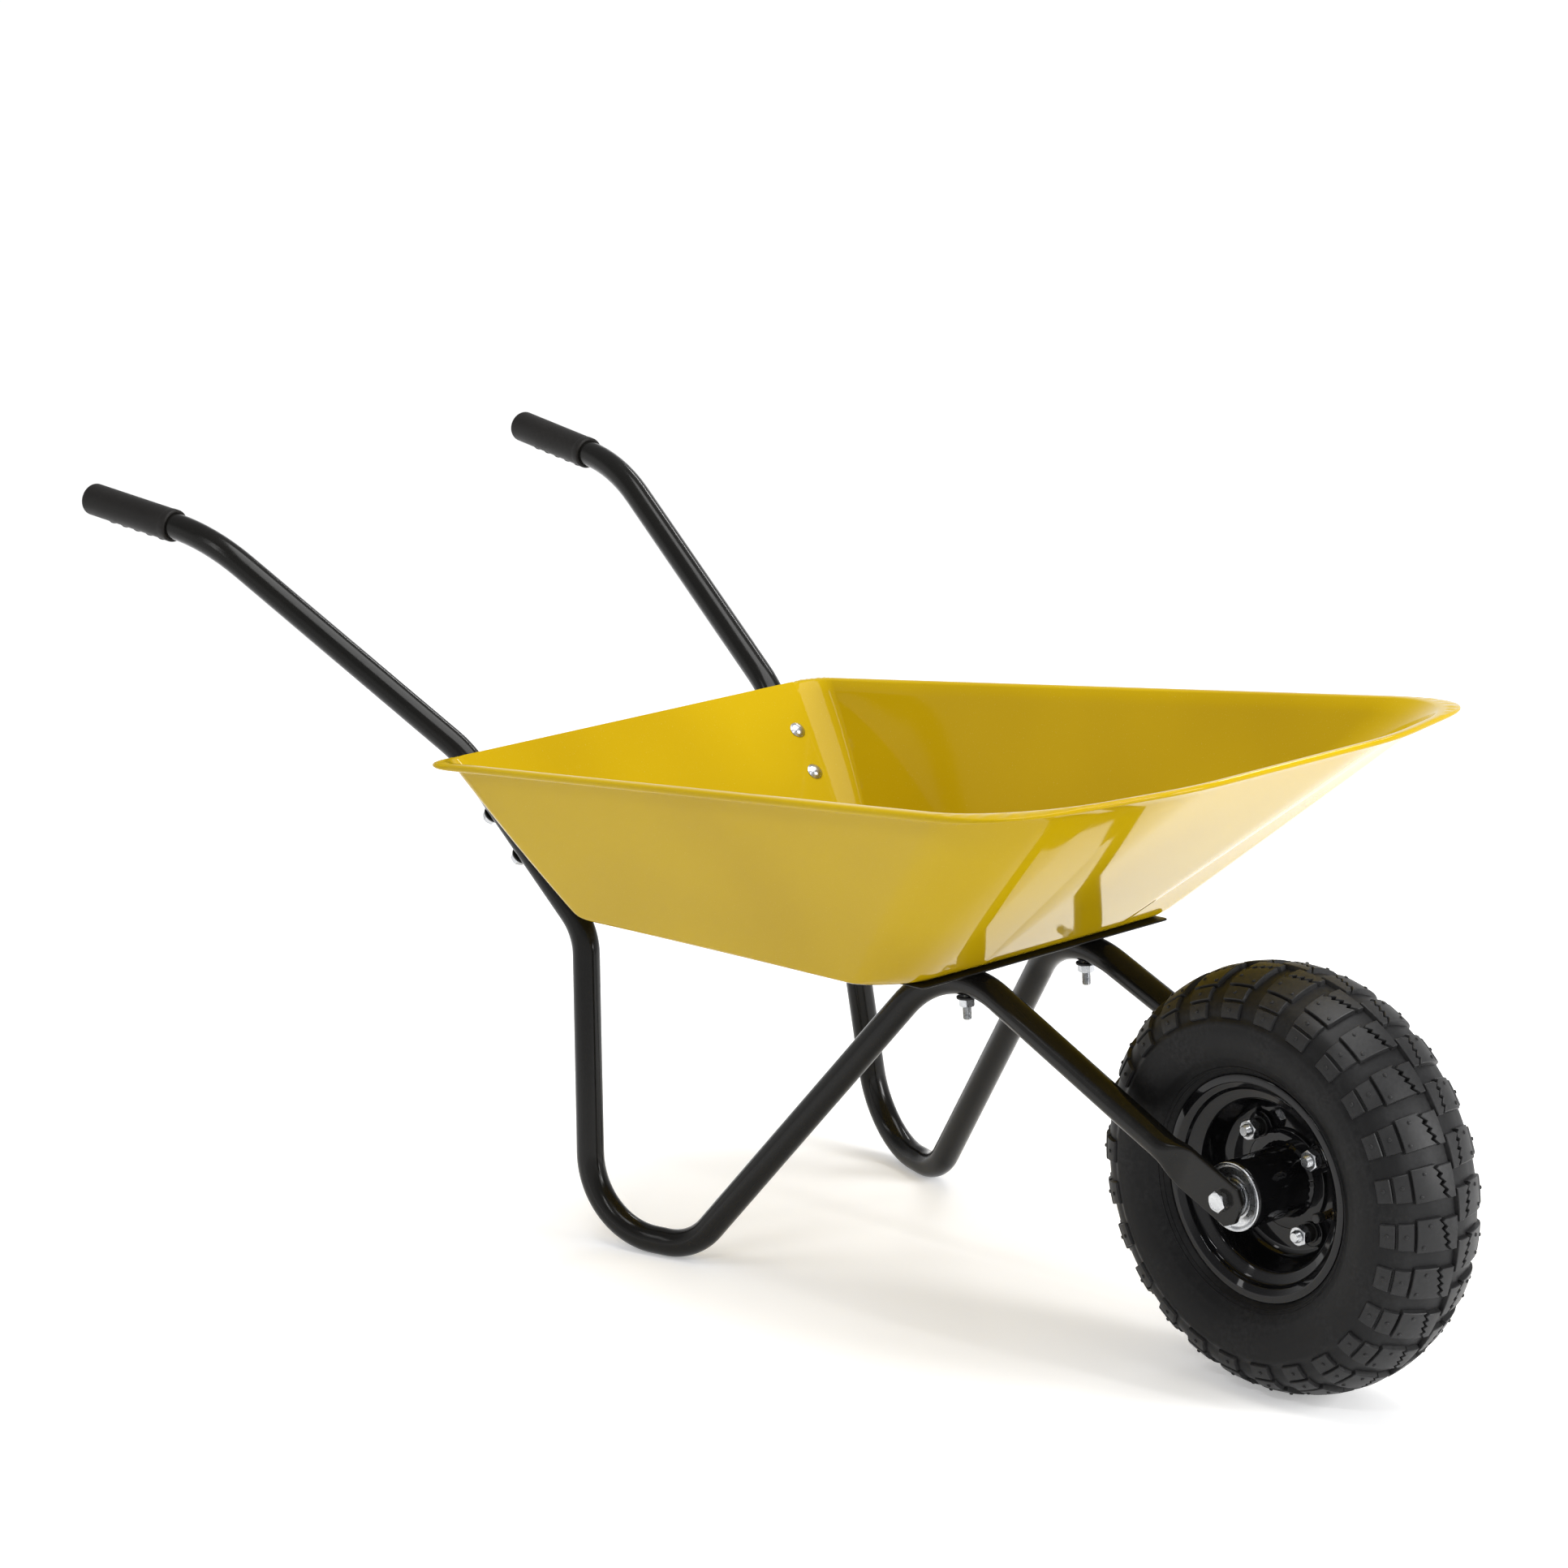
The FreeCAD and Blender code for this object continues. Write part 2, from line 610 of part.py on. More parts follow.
def rim_half():
    """Dished pressing: a flat web, a drop centre, a bead seat and a rolled lip."""
    run = [(30.0, 0.1), (64.0, 0.1), (69.5, 6.0), (72.0, 15.0), (75.0, 29.0), (85.0, 33.0), (86.5, 38.0),
           (91.0, 41.0), (RIM_FLANGE_R, RIM_HALF_W - 2.0)]
    body = spun(sheet_outline(run, 2.0))
    holes = [rod(on_axle(-2) + V(dx, 0, dz), V(0, 1, 0), M10_HOLE_R, 10.0) for dx, dz in hub_bolt_places()]
    return body.cut(holes)


def rim_left():
    return rim_half()


def rim_right():
    """The right-hand half also has the valve's hole."""
    body = mirrored(rim_half())
    return body.cut(rod(valve_place(-26), V(0, 1, 0), 4.6, 34.0))


def hub_spacers():
    """Black bushes between the right-hand hub flange and the nuts."""
    return group([washer(on_axle(-HUB_FLANGE_Y[1] - 0.1) + V(dx, 0, dz), V(0, -1, 0), M10_HOLE_R, SPACER_R,
                         SPACER_L)
                  for dx, dz in hub_bolt_places()])


def hub_bolts():
    bolts = []
    length = 2 * HUB_FLANGE_Y[1] + SPACER_L + M10_NUT_L + HUB_BOLT_TIP
    for dx, dz in hub_bolt_places():
        head_place = on_axle(HUB_FLANGE_Y[1] + 0.1) + V(dx, 0, dz)
        head = hexagon(head_place, V(0, 1, 0), M10_AF, M10_HEAD_L)
        shank = rod(head_place + V(0, 0.1, 0), V(0, -1, 0), M10_R, length)
        bolts.append(head.fuse(shank))
    return group(bolts)


def hub_nuts():
    nut_y = -HUB_FLANGE_Y[1] - SPACER_L - 0.2
    return group([hexagon(on_axle(nut_y) + V(dx, 0, dz), V(0, -1, 0), M10_AF, M10_NUT_L, M10_R + THREAD_CLEAR)
                  for dx, dz in hub_bolt_places()])


# ---- tyre ------------------------------------------------------------------
def smooth_face(runs):
    """A closed face in the wheel's section from lists of (radius, y): two points a line, three an arc."""
    edges = []
    for run in runs:
        points = [V(AXLE_X + r, y, WHEEL_R) for r, y in run]
        if len(points) == 2:
            edges.append(Part.LineSegment(*points).toShape())
        else:
            edges.append(Part.Arc(*points).toShape())
    return Part.Face(Part.Wire(edges))


def tyre_runs(half_w, outer_r, bead_r, bead_y, belly_r):
    """Right half, crown and left half of a balloon section, from bead to bead."""
    shoulder = (outer_r - 12.0, half_w * 0.72)
    belly = (belly_r, half_w)
    neck = (bead_r, bead_y)
    low = ((neck[0] + belly[0]) / 2 - 4.0, (neck[1] + belly[1]) / 2 + 5.0)
    high = ((belly[0] + shoulder[0]) / 2 + 1.5, (belly[1] + shoulder[1]) / 2 + 4.5)
    up = [[neck, low, belly], [belly, high, shoulder]]
    down = [[(r, -y) for r, y in reversed(run)] for run in reversed(up)]
    crown = [[shoulder, (outer_r, 0.0), (shoulder[0], -shoulder[1])]]
    return up + crown + down


def tyre():
    outside = tyre_runs(TYRE_HALF_W, WHEEL_R, RIM_FLANGE_R + 0.5, 41.0, 140.0)
    inside = tyre_runs(TYRE_HALF_W - 6.0, WHEEL_R - 11.0, RIM_FLANGE_R + 3.0, 33.0, 138.0)
    bead_out = (88.5, 38.6)
    bead_in = (88.5, 30.5)
    back = [list(reversed(run)) for run in reversed(inside)]
    right_bead = [[(outside[-1][-1]), (bead_out[0], -bead_out[1])],
                  [(bead_out[0], -bead_out[1]), (bead_in[0], -bead_in[1])],
                  [(bead_in[0], -bead_in[1]), back[0][0]]]
    left_bead = [[back[-1][-1], bead_in], [bead_in, bead_out], [bead_out, outside[0][0]]]
    face = smooth_face(outside + right_bead + back + left_bead)
    return face.revolve(V(AXLE_X, 0, WHEEL_R), V(0, 1, 0), 360)


AIR_R = 134.0             # middle of the inner tube's section
AIR_HALF_W = 43.0
AIR_HALF_H = 33.0
AIR_WALL = 2.0


def inner_tube():
    """Thin closed ring of air that fills the tyre's hollow."""
    centre = V(AXLE_X + AIR_R, 0, WHEEL_R)
    rings = []
    for shrink in (0.0, AIR_WALL):
        oval = Part.Ellipse(centre + V(0, AIR_HALF_W - shrink, 0), centre + V(AIR_HALF_H - shrink, 0, 0), centre)
        face = Part.Face(Part.Wire([oval.toShape()]))
        rings.append(face.revolve(V(AXLE_X, 0, WHEEL_R), V(0, 1, 0), 360))
    return rings[0].cut(rings[1])


def valve_stem():
    return washer(valve_place(-12.5), V(0, -1, 0), 1.5, 4.0, 20.0)


def valve_cap():
    return rod(valve_place(-32.6), V(0, -1, 0), 4.4, 8.0)


def main():
    os.makedirs("parts", exist_ok=True)
    tube = frame_tube()
    sleeve = grip()
    for side, sign in SIDES:
        export("frame_tube_" + side, tube if sign > 0 else mirrored(tube))
        export("grip_" + side, sleeve if sign > 0 else mirrored(sleeve))
    export("tray", tray())
    export("cross_plate", cross_plate())
    export("rear_tray_bolts", rear_bolts())
    export("rear_tray_washers", rear_washers())
    export("rear_tray_nuts", rear_nuts())
    export("front_tray_bolts", front_bolts())
    export("front_tray_washers", front_washers())
    export("front_tray_nuts", front_nuts())
    export("axle_bolt", axle_bolt())
    export("axle_washer", axle_washer())
    export("axle_nut", axle_nut())
    export("axle_sleeve", axle_sleeve())
    export("spacer_collars", spacer_collars())
    export("bearing_inner_races", bearing_inner_races())
    export("bearing_outer_races", bearing_outer_races())
    export("bearing_balls", bearing_balls())
    export("dust_cover_left", dust_cover())
    export("dust_cover_right", mirrored(dust_cover()))
    export("hub_left", hub_half())
    export("hub_right", mirrored(hub_half()))
    export("rim_left", rim_left())
    export("rim_right", rim_right())
    export("hub_bolts", hub_bolts())
    export("hub_spacers", hub_spacers())
    export("hub_nuts", hub_nuts())
    export("tyre", tyre())
    export("inner_tube", inner_tube())
    export("valve_stem", valve_stem())
    export("valve_cap", valve_cap())


main()
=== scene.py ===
import bisect
import cmath
import math

import bmesh
import bpy
from mathutils import Matrix, Vector


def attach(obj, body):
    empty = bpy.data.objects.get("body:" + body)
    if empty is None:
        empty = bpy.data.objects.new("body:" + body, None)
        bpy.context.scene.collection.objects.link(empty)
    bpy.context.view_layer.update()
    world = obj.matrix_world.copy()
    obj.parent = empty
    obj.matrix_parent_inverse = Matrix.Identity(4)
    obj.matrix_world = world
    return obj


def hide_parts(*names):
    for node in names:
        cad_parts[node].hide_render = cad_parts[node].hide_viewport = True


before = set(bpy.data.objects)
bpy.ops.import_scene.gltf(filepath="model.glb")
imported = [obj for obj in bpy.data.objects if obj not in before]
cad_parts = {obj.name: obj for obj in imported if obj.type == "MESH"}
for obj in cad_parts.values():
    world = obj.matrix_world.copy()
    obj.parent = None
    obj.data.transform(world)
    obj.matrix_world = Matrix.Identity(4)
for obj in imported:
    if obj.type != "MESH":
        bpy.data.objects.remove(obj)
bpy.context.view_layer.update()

# The object's lengths are millimetres in the row frame, and MM turns them into metres.
MM = 0.001
V = Vector
Y_AXIS = V((0, 1, 0))

# ---- driving dimensions, the same as the CAD model's ---------------------
AXLE = V((561.5, 0.0, 182.5))
HUB_R = 29.5
HUB_HALF_L = 68.0
HUB_BOLT_R = 48.5
HUB_BOLT_ANGLES = [math.radians(36.0 + 90.0 * k) for k in range(4)]
FORK_Y = 80.8
FORK_HALF_T = 2.5
FORK_HALF_H = 19.0
TUBE_R = 12.5
GRIP_R = 15.3
GRIP_L = 121.0
TRAY_T = 1.2
TUBE_TO_WALL = 13.9
BASE_REAR_Z, BASE_FRONT_Z = 299.0, 318.3
RIM_REAR_Z, RIM_FRONT_Z = 432.0, 533.0
BASE_FRONT_X, RIM_FRONT_X = 272.7, 512.0
BASE_REAR_HALF_W, RIM_REAR_HALF_W = 180.0, 229.5
BASE_FRONT_HALF_W, RIM_FRONT_HALF_W = 183.0, 280.0
BASE_REAR_R, RIM_REAR_R = 20.0, 30.0
BASE_FRONT_R, RIM_FRONT_R = 50.0, 118.0
BASE_BOW, RIM_BOW = 2.0, 51.0
BOW_PART = 0.43
BOW_R_PART = 0.8
PLATE_T = 2.0
PLATE_FRONT_X, PLATE_REAR_X = 281.0, 226.0
PLATE_HALF_L = 150.0
M8_R = 4.0
M8_PITCH = 1.25
M10_R = 5.0
M10_PITCH = 1.5
M10_FLATS = 16.0
M10_HEAD_L = 6.4
M10_NUT_L = 8.0

GRIP_END = V((-737.8, 264.7, 612.6))
HANDLE_BEND = V((-574.6, 250.0, 596.4))
RIM_BEND = V((-283.4, 186.4, 429.3))
LEG_TOP = V((-150.0, 158.2, 281.6))
FOOT_REAR = V((-124.2, 181.0, TUBE_R))
FOOT_FRONT = V((-16.9, 152.5, TUBE_R))
PEAK = V((229.2, 70.2, 321.6))
AXLE_END = V((AXLE.x, FORK_Y, AXLE.z))
BEND_RADII = (220.0, 110.0, 60.0, 74.0, 60.0, 88.0)
FLAT_START = 78.0
FLAT_FULL = 40.0
TIP_REACH = 20.0
TIP_CORNER = 9.0

WALL_RUN = LEG_TOP - RIM_BEND
WALL_OUT = V((WALL_RUN.z, 0, -WALL_RUN.x)).normalized()
WALL_SLOPE = WALL_OUT.z / WALL_OUT.x


def rear_wall_x(z):
    on_wall = RIM_BEND - WALL_OUT * TUBE_TO_WALL
    return on_wall.x - (z - on_wall.z) * WALL_SLOPE


BASE_SLOPE = math.atan2(BASE_FRONT_Z - BASE_REAR_Z, BASE_FRONT_X - rear_wall_x(BASE_REAR_Z))
BASE_DOWN = V((math.sin(BASE_SLOPE), 0, -math.cos(BASE_SLOPE)))
BASE_ALONG = V((math.cos(BASE_SLOPE), 0, math.sin(BASE_SLOPE)))
RIM_SLOPE = (RIM_FRONT_Z - RIM_REAR_Z) / (RIM_FRONT_X - rear_wall_x(RIM_REAR_Z))
RIM_UP = V((-RIM_SLOPE, 0, 1)).normalized()


def base_z(x):
    return BASE_FRONT_Z + (x - BASE_FRONT_X) * math.tan(BASE_SLOPE)


def flip(point):
    return V((point.x, -point.y, point.z))


def lerp(a, b, t):
    return a + (b - a) * t


def smoothstep(t):
    t = max(0.0, min(1.0, t))
    return t * t * (3 - 2 * t)


# ---- mesh building -------------------------------------------------------
def angles(count):
    """Evenly spaced angles once round."""
    return [2 * math.pi * k / count for k in range(count)]


def parts(count):
    """1/count, 2/count and so on up to 1."""
    return [k / count for k in range(1, count + 1)]


class Build:
    """Collects vertices and faces of one piece, in millimetres."""

    def __init__(self):
        self.verts = []
        self.faces = []

    def rows(self, rows, around=True, closed=False):
        """Quads between rows of points; around joins each row's ends, closed joins last row to first."""
        start = len(self.verts)
        count = len(rows[0])
        for row in rows:
            self.verts.extend(row)
        last_row = len(rows) if closed else len(rows) - 1
        last_col = count if around else count - 1
        for i in range(last_row):
            j = (i + 1) % len(rows)
            for k in range(last_col):
                m = (k + 1) % count
                self.faces.append((start + i * count + k, start + i * count + m,
                                   start + j * count + m, start + j * count + k))
        return start

    def cap(self, first, count):
        """One face over a ring of points already added."""
        self.faces.append(tuple(range(first, first + count)))

    def tube(self, rows):
        """Rows joined all round, with a face over the first row and the last."""
        first = self.rows(rows)
        count = len(rows[0])
        self.cap(first, count)
        self.cap(first + count * (len(rows) - 1), count)
        return self

    def loop(self, rows):
        """Rows joined all round, and the last row to the first."""
        self.rows(rows, True, True)
        return self

    def spin(self, origin, axis, profile, sides, solid=False):
        """Turn (radius, height) points about an axis: a closed profile, or a solid's outside."""
        side, up = across(axis)
        rows = []
        for r, h in profile:
            rows.append([origin + axis * h + (side * math.cos(a) + up * math.sin(a)) * r
                         for a in angles(sides)])
        return self.tube(rows) if solid else self.loop(rows)


def across(axis):
    """Two directions square to an axis."""
    helper = V((0, 0, 1)) if abs(axis.z) < 0.9 else V((1, 0, 0))
    side = axis.cross(helper).normalized()
    return side, side.cross(axis).normalized()


def make(name, build, material, body, replaces=(), sharp=35.0):
    """Turn a build into a piece that rides on a body."""
    mesh = bpy.data.meshes.new(name)
    mesh.from_pydata([v * MM for v in build.verts], [], build.faces)
    work = bmesh.new()
    work.from_mesh(mesh)
    bmesh.ops.remove_doubles(work, verts=work.verts, dist=0.000002)
    bmesh.ops.recalc_face_normals(work, faces=work.faces)
    work.to_mesh(mesh)
    work.free()
    mesh.shade_smooth()
    mesh.set_sharp_from_angle(angle=math.radians(sharp))
    mesh.materials.append(material)
    obj = bpy.data.objects.new(name, mesh)
    bpy.context.scene.collection.objects.link(obj)
    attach(obj, body)
    if replaces:
        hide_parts(*replaces)
    return obj


def bend_point(a, corner, b, weight, t):
    """A point of the curve from a to b that is pulled towards a corner."""
    w0, w1, w2 = (1 - t) ** 2, 2 * t * (1 - t) * weight, t * t
    return (a * w0 + corner * w1 + b * w2) / (w0 + w1 + w2)


def rounded(points, radius, closed=False, steps=5):
    """A run of 2-D points with each corner rounded; radius is a number or one for each point."""
    count = len(points)
    radii = radius if isinstance(radius, (list, tuple)) else [radius] * count
    out = []
    for i in range(count):
        here = V(points[i])
        if not closed and i in (0, count - 1):
            out.append(tuple(here))
            continue
        before = V(points[i - 1])
        after = V(points[(i + 1) % count])
        into = (here - before).normalized()
        away = (after - here).normalized()
        turn = into.angle(away)
        if turn < 0.02 or radii[i] <= 0:
            out.append(tuple(here))
            continue
        reach = radii[i] * math.tan(turn / 2)
        reach = min(reach, (here - before).length * 0.49, (after - here).length * 0.49)
        a, b = here - into * reach, here + away * reach
        out += [tuple(bend_point(a, here, b, math.cos(turn / 2), k / steps)) for k in range(steps + 1)]
    return out


# ---- materials -----------------------------------------------------------
class Nodes:
    """Makes the nodes of one tree; an input takes a value or another node's output."""

    def __init__(self, tree):
        self.tree = tree

    def put(self, socket, value):
        """Link an output to an input, or set its value; a colour is given without its alpha."""
        if isinstance(value, bpy.types.NodeSocket):
            self.tree.links.new(value, socket)
        else:
            socket.default_value = (*value, 1) if socket.type == "RGBA" else value

    def node(self, kind, inputs, **settings):
        made = self.tree.nodes.new(kind)
        for key, value in settings.items():
            setattr(made, key, value)
        for key, value in inputs.items():
            self.put(made.inputs[key], value)
        return made

    def range(self, value, low, high, to_low=0.0, to_high=1.0, **settings):
        inputs = {"Value": value, "From Min": low, "From Max": high, "To Min": to_low, "To Max": to_high}
        return self.node("ShaderNodeMapRange", inputs, **settings).outputs["Result"]

    def mix(self, factor, a, b):
        return self.node("ShaderNodeMix", {"Factor": factor, 6: a, 7: b}, data_type="RGBA").outputs[2]


class Shade(Nodes):
    """A procedural material in the object's own metres."""

    def __init__(self, name, color, metallic, roughness, **sockets):
        self.mat = bpy.data.materials.new(name)
        self.mat.use_nodes = True
        super().__init__(self.mat.node_tree)
        self.bsdf = self.tree.nodes["Principled BSDF"]
        sockets.update(Base_Color=color, Metallic=metallic, Roughness=roughness)
        for key, value in sockets.items():
            self.put(self.bsdf.inputs[key.replace("_", " ")], value)
        self.coords = self.node("ShaderNodeTexCoord", {}).outputs["Object"]
        self.normal = None

    def noise(self, scale, detail, rough=0.5, stretch=None):
        place = self.coords
        if stretch:
            place = self.node("ShaderNodeMapping", {"Scale": stretch, "Vector": place}).outputs["Vector"]
        inputs = {"Scale": scale, "Detail": detail, "Roughness": rough, "Vector": place}
        return self.node("ShaderNodeTexNoise", inputs).outputs["Fac"]

    def times(self, a, b):
        return self.node("ShaderNodeMath", {0: a, 1: b}, operation="MULTIPLY").outputs[0]

    def color(self, output):
        self.put(self.bsdf.inputs["Base Color"], output)

    def rough(self, output):
        self.put(self.bsdf.inputs["Roughness"], output)

    def bump(self, value, strength, distance):
        """Bumps on top of the ones added before."""
        inputs = {"Strength": strength, "Distance": distance, "Height": value}
        if self.normal is not None:
            inputs["Normal"] = self.normal
        self.normal = self.node("ShaderNodeBump", inputs).outputs["Normal"]
        self.put(self.bsdf.inputs["Normal"], self.normal)


# how large each kind of noise is, as Blender's noise scale
DRIFT, PEEL_WAVE, PRESS_WAVE = 3.0, 260.0, 7.0
DUST_SPECKS, SCUFFS = 900.0, 60.0
CLOUDS, DULL_SPOTS, TURNING = 140.0, 420.0, 900.0
BLOOM, FINE_BLOOM, MOULD_WAVE = 24.0, 260.0, 90.0
# the tyre's colour runs paler between these radii: painted light standing in for the light and sheen the
# crown catches
SIDE_WALL_R, TREAD_LOW_R = 0.138, 0.166      # metres from the axle between which the tyre gets paler


def enamel(name, color, dark, dust, roughness, peel, specular):
    """Gloss paint: slow colour drift, orange peel, fine scuffs, and specks of dust."""
    s = Shade(name, color, 0.0, roughness, Specular_IOR_Level=specular)
    drift = s.range(s.noise(DRIFT, 2.0), 0.35, 0.65)
    specks = s.range(s.noise(DUST_SPECKS, 1.0), 0.70, 0.76)
    toned = s.mix(drift, color, dark)
    s.color(s.mix(s.times(specks, 0.22), toned, dust))
    scuffs = s.range(s.noise(SCUFFS, 4.0, 0.6, (1.0, 1.0, 5.0)), 0.45, 0.75)
    s.rough(s.range(scuffs, 0.0, 1.0, roughness * 0.85, roughness * 1.35))
    s.bump(s.noise(PEEL_WAVE, 1.0), peel, 0.0003)
    s.bump(s.noise(PRESS_WAVE, 1.0), 0.04, 0.003)
    return s.mat


def plated(name, color, roughness, dull):
    """Zinc plate or ground steel: cloudy tone, fine turning marks and dull spots."""
    s = Shade(name, color, 1.0, roughness)
    cloud = s.range(s.noise(CLOUDS, 4.0, 0.6), 0.35, 0.7)
    s.color(s.mix(cloud, color, dull))
    s.rough(s.range(s.noise(DULL_SPOTS, 3.0, 0.6), 0.3, 0.75, roughness * 0.85, roughness * 1.25))
    s.bump(s.noise(TURNING, 2.0, 0.6, (1.0, 3.0, 1.0)), 0.05, 0.0002)
    return s.mat


def rubber(name, color, light, roughness, grain, specular, sheen=0.0, lit_tread_tone=None):
    """Moulded rubber: a dusty bloom, fine grain and slow unevenness; a tyre's tread gets a painted
    highlight, a paler tone from the side wall out to the crown.
    """
    s = Shade(name, color, 0.0, roughness, Sheen_Weight=sheen, Sheen_Roughness=0.5,
              Specular_IOR_Level=specular)
    bloom = s.range(s.noise(BLOOM, 5.0, 0.6), 0.38, 0.72)
    fine = s.range(s.noise(FINE_BLOOM, 3.0, 0.6), 0.35, 0.75)
    both = s.times(bloom, fine)
    toned = s.mix(both, color, light)
    # Painted light: the tread is painted paler than the side walls, in place of the light and sheen falling
    # on the crown.
    if lit_tread_tone:
        flat = {0: s.coords, 1: (1.0, 0.0, 1.0), 2: (-AXLE.x * MM, 0.0, -AXLE.z * MM)}
        from_axle = s.node("ShaderNodeVectorMath", flat, operation="MULTIPLY_ADD").outputs["Vector"]
        radius = s.node("ShaderNodeVectorMath", {0: from_axle}, operation="LENGTH").outputs["Value"]
        lit_crown_part = s.range(radius, SIDE_WALL_R, TREAD_LOW_R)
        toned = s.mix(lit_crown_part, toned, s.mix(both, lit_tread_tone, light))
    s.color(toned)
    s.rough(s.range(bloom, 0.0, 1.0, roughness * 0.88, roughness * 1.15))
    s.bump(s.noise(grain, 2.0, 0.6), 0.16, 0.0003)
    s.bump(s.noise(MOULD_WAVE, 2.0), 0.08, 0.0012)
    return s.mat


yellow = enamel("tray_enamel", (0.400, 0.270, 0.0025), (0.335, 0.218, 0.002), (0.62, 0.50, 0.18),
                roughness=0.06, peel=0.006, specular=0.10)
black = enamel("tube_enamel", (0.0045, 0.0045, 0.004), (0.0065, 0.006, 0.0052), (0.04, 0.04, 0.035),
               roughness=0.18, peel=0.004, specular=0.18)
rim_black = enamel("rim_enamel", (0.003, 0.003, 0.0034), (0.005, 0.005, 0.0055), (0.04, 0.04, 0.04),
                   roughness=0.06, peel=0.006, specular=0.24)
washer_black = enamel("washer_black", (0.006, 0.006, 0.006), (0.012, 0.0115, 0.011), (0.06, 0.06, 0.055),
                      roughness=0.42, peel=0.1, specular=0.3)
zinc = plated("zinc_plate", (0.52, 0.53, 0.54), 0.28, (0.40, 0.41, 0.43))
steel = plated("ground_steel", (0.62, 0.62, 0.63), 0.18, (0.46, 0.46, 0.47))
brass = plated("valve_brass", (0.72, 0.56, 0.28), 0.28, (0.52, 0.40, 0.20))
tyre_rubber = rubber("tyre_rubber", (0.0035, 0.0035, 0.0038), (0.016, 0.016, 0.0165), roughness=0.46,
                     grain=1400.0, specular=0.13, lit_tread_tone=(0.0075, 0.0075, 0.0078))
# Painted shade: the blocks are painted paler than the carcass's tread tone, so the grooves between them read
# as shaded.
lit_lug_rubber = rubber("lit_lug_rubber", (0.0125, 0.0125, 0.0128), (0.024, 0.024, 0.0245), roughness=0.44,
                    grain=1400.0, specular=0.18)
grip_rubber = rubber("grip_rubber", (0.0075, 0.0068, 0.0062), (0.013, 0.012, 0.011), roughness=0.50,
                     grain=1900.0, specular=0.16)
tube_butyl = rubber("tube_rubber", (0.020, 0.020, 0.020), (0.030, 0.030, 0.030), roughness=0.7,
                    grain=1500.0, specular=0.28, sheen=0.1)
cap_plastic = rubber("cap_plastic", (0.008, 0.008, 0.008), (0.016, 0.016, 0.016), roughness=0.40,
                     grain=1200.0, specular=0.28)


# ---- tray ----------------------------------------------------------------
CORNER_STEPS = 64
SIDE_STEPS = 44
FRONT_STEPS = 22
NOSE_STEPS = 14
NOSE_LINE_STEPS = 8
REAR_STEPS = 36
# stretches of the outline: name and number of steps, up the right side, across the nose, down the left
RIGHT_SIDE = (("rear_corner", CORNER_STEPS), ("side", SIDE_STEPS), ("front_corner", CORNER_STEPS),
              ("front", FRONT_STEPS), ("nose", NOSE_STEPS))
STRETCHES = RIGHT_SIDE + (("nose_line", NOSE_LINE_STEPS),) + RIGHT_SIDE[::-1] + (("rear", REAR_STEPS),)
# each outline point's stretch, whether it lies past the nose, and how far along the stretch it is
PLACES = [(kind, number > len(RIGHT_SIDE), k / steps) for number, (kind, steps) in enumerate(STRETCHES)
          for k in range(steps)]


def bend_of(before, corner, after, radius):
    """Directions into and away from a corner, the turn there, and its arc's centre."""
    into = (corner - before).normalized()
    away = (after - corner).normalized()
    turn = into.angle(away)
    return into, away, turn, corner + (away - into).normalized() * (radius / math.cos(turn / 2))


def arc_points(before, corner, after, radius, steps):
    """Points along the arc that rounds one corner, both ends included."""
    into, _, turn, centre = bend_of(before, corner, after, radius)
    start = corner - into * radius * math.tan(turn / 2) - centre
    return [centre + start * math.cos(turn * k / steps) + into * radius * math.sin(turn * k / steps)
            for k in range(steps + 1)]


def outline(rear, front, bow, rear_r, front_r):
    """Closed run of points around the tray at one level, the same stretches at every level."""
    rear_x, rear_w, rear_z = rear
    front_x, front_w, front_z = front
    slope = (front_z - rear_z) / (front_x - rear_x)
    right = [V((rear_x, -rear_w, rear_z)), V((front_x, -front_w, front_z)),
             V((front_x + bow, -front_w * BOW_PART, front_z + bow * slope))]
    corners = right + [flip(point) for point in reversed(right)]
    right_radii = [rear_r, front_r, front_w * BOW_R_PART]
    radii = right_radii + right_radii[::-1]
    arc_steps = [CORNER_STEPS, CORNER_STEPS, NOSE_STEPS, NOSE_STEPS, CORNER_STEPS, CORNER_STEPS]
    line_steps = [SIDE_STEPS, FRONT_STEPS, NOSE_LINE_STEPS, FRONT_STEPS, SIDE_STEPS, REAR_STEPS]
    arcs = [arc_points(corners[i - 1], corners[i], corners[(i + 1) % 6], radii[i], arc_steps[i])
            for i in range(6)]
    points = []
    for i in range(6):
        points += arcs[i][:-1]
        start, end = arcs[i][-1], arcs[(i + 1) % 6][0]
        points += [lerp(start, end, k / line_steps[i]) for k in range(line_steps[i])]
    return points


def tray_level(part, rear_in=0.0, side_in=0.0, front_in=0.0, rear_r=None, front_r=None):
    """The outline at a part of the height (0 base, 1 rim), moved in by given amounts."""
    rear_z = lerp(BASE_REAR_Z, RIM_REAR_Z, part)
    front_z = lerp(BASE_FRONT_Z, RIM_FRONT_Z, part)
    rear_x, front_x = rear_wall_x(rear_z), lerp(BASE_FRONT_X, RIM_FRONT_X, part)
    slope = (front_z - rear_z) / (front_x - rear_x)
    rear_w = lerp(BASE_REAR_HALF_W, RIM_REAR_HALF_W, part) - side_in
    front_w = lerp(BASE_FRONT_HALF_W, RIM_FRONT_HALF_W, part) - side_in
    return outline((rear_x + rear_in, rear_w, rear_z + rear_in * slope),
                   (front_x - front_in, front_w, front_z - front_in * slope),
                   lerp(BASE_BOW, RIM_BOW, part),
                   lerp(BASE_REAR_R, RIM_REAR_R, part) if rear_r is None else rear_r,
                   lerp(BASE_FRONT_R, RIM_FRONT_R, part) if front_r is None else front_r)


